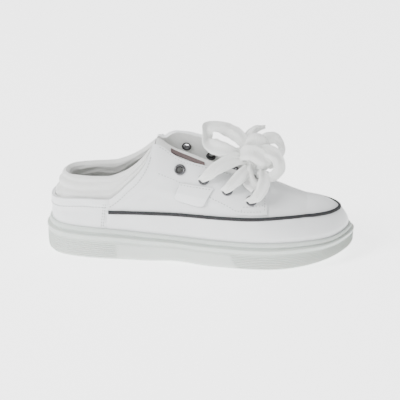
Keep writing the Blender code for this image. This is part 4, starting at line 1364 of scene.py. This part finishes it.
def make_ribbon(name, route):
    """A soft flat tube of knitted ribbon, its edges slightly ruffled."""
    path, length = curve_through(route, 300)
    spine, face, width = path[:, :3] * MM, unit(path[:, 3:6]), path[:, 6] * MM
    ahead = unit(np.gradient(spine, axis=0))
    side = unit(np.cross(ahead, face))
    face = np.cross(side, ahead)
    sides = 40
    steps = len(spine)
    grid = np.zeros((steps, sides, 3))
    phase = len(name) * 1.7
    for k in range(sides):
        a = 2 * math.pi * k / sides
        across, up = math.cos(a), math.sin(a)
        flat = np.sign(across) * abs(across) ** 0.75
        thick = LACE_THICKNESS * (0.46 + 0.14 * (1 - flat * flat))
        where = np.arange(steps) / steps * length
        curl = 0.0013 * flat * np.sin(where / 5.2 + phase + 1.1 * flat) + 0.0018 * flat**2 * np.sin(where / 9 + phase)
        curl = curl + 0.0009 * np.sin(4.2 * flat + phase + where / 17)
        knit = 0.00022 * np.abs(np.sin(math.pi * where / 1.7)) * (0.4 + 0.6 * abs(up))
        grid[:, k] = spine + side * (flat * width / 2)[:, None]
        grid[:, k] += face * ((thick + knit) * up + curl)[:, None]
    bumps = 0.0007 * ripple(grid, 170, phase)
    centre = grid.mean(axis=1, keepdims=True)
    grid = grid + unit(grid - centre) * bumps[..., None]
    points = grid.reshape(-1, 3)
    faces = []
    for i in range(steps - 1):
        for k in range(sides):
            n = (k + 1) % sides
            faces.append((i * sides + k, (i + 1) * sides + k, (i + 1) * sides + n, i * sides + n))
    faces.append(tuple(range(sides)))
    faces.append(tuple(reversed(range((steps - 1) * sides, steps * sides))))
    made = add_mesh(name, points, faces, [SKINS["lace"]])
    nodes = [RIBBON_NODES[name]] if name in RIBBON_NODES else []
    return ride(made, *nodes, slot="lace_ribbon"), spine


def make_knot():
    """The knot: a squeezed wrap of ribbon, folded over itself."""
    rows, sides = 40, 56
    centre = np.array([46, -6, 86]) * MM
    points, faces = [], []
    for r in range(rows + 1):
        a = math.pi * r / rows
        for k in range(sides):
            b = 2 * math.pi * k / sides
            way = np.array([math.sin(a) * math.cos(b), math.sin(a) * math.sin(b), math.cos(a)])
            fold = 1 + 0.07 * math.sin(6 * b + 3 * way[2]) * math.sin(a) + 0.10 * noise.noise(Vector(way * 2.3))
            points.append(centre + way * np.array([0.0088, 0.0082, 0.0090]) * fold)
    for r in range(rows):
        for k in range(sides):
            n = (k + 1) % sides
            faces.append((r * sides + k, (r + 1) * sides + k, (r + 1) * sides + n, r * sides + n))
    made = add_mesh("bow_knot", points, faces, [SKINS["lace"]])
    return ride(made, "lace_knot", slot="lace_ribbon")


# Camera and light


def make_camera():
    azimuth, elevation, distance = math.radians(6.4), math.radians(20.3), 4.0
    target = Vector((0, 0, 0.045))
    way = Vector(
        (
            math.sin(azimuth) * math.cos(elevation),
            -math.cos(azimuth) * math.cos(elevation),
            math.sin(elevation),
        )
    )
    data = bpy.data.cameras.new("camera")
    data.lens = 418
    data.sensor_width = 36
    data.clip_end = 50
    made = bpy.data.objects.new("camera", data)
    made.location = target + way * distance
    made.rotation_euler = (-way).to_track_quat("-Z", "Y").to_euler()
    bpy.context.scene.collection.objects.link(made)
    bpy.context.scene.camera = made


def make_light(name, where, size, power, target=(0, 0, 0.03)):
    data = bpy.data.lights.new(name, "AREA")
    data.shape = "DISK"
    data.size = size
    data.energy = power
    made = bpy.data.objects.new(name, data)
    made.location = where
    aim = Vector(target) - Vector(where)
    made.rotation_euler = aim.to_track_quat("-Z", "Y").to_euler()
    bpy.context.scene.collection.objects.link(made)


def make_studio():
    bpy.ops.mesh.primitive_plane_add(size=12, location=(0, 0, 0))
    floor = bpy.context.object
    floor.name = "floor"
    made, tree, principled = shader("floor_paper", (0.93, 0.93, 0.93), 0.9)
    principled.inputs["Emission Color"].default_value = (1, 1, 1, 1)
    principled.inputs["Emission Strength"].default_value = 2.3
    floor.data.materials.append(made)
    world = bpy.data.worlds.new("studio")
    world.use_nodes = True
    world.node_tree.nodes["Background"].inputs["Color"].default_value = (1, 1, 1, 1)
    world.node_tree.nodes["Background"].inputs["Strength"].default_value = 0.75
    bpy.context.scene.world = world
    make_light("key", (-1.3, -1.1, 1.5), 0.9, 54)
    make_light("fill", (1.4, -1.4, 0.8), 1.4, 0.5)
    make_light("top", (-0.3, 0.4, 1.8), 1.2, 15)


def build():
    make_camera()
    make_outsole()
    make_insole()
    upper = make_upper()
    for side in (-1, 1):
        cut_holes(upper, EYELET_BARREL + GAP, side)
    make_eyestay("eyestay_panel_lateral", "eyestay_lateral", -1)
    make_eyestay("eyestay_panel_medial", "eyestay_medial", 1)
    make_piping()
    make_stitches("seam_stitches", seam_rows(), "thread", "white_leather")
    make_collar()
    make_tongue()
    make_label()
    make_tag()
    for side in (-1, 1):
        for index in range(len(EYELETS["along"])):
            make_eyelet(index, side)
    bow = {}
    for name, route in RIBBONS.items():
        made, spine = make_ribbon(name, route)
        if name.startswith("bow"):
            bow[name] = (made, spine)
    knot = make_knot()
    loop, spine = bow.pop("bow_loop_back")
    make_studio()


build()
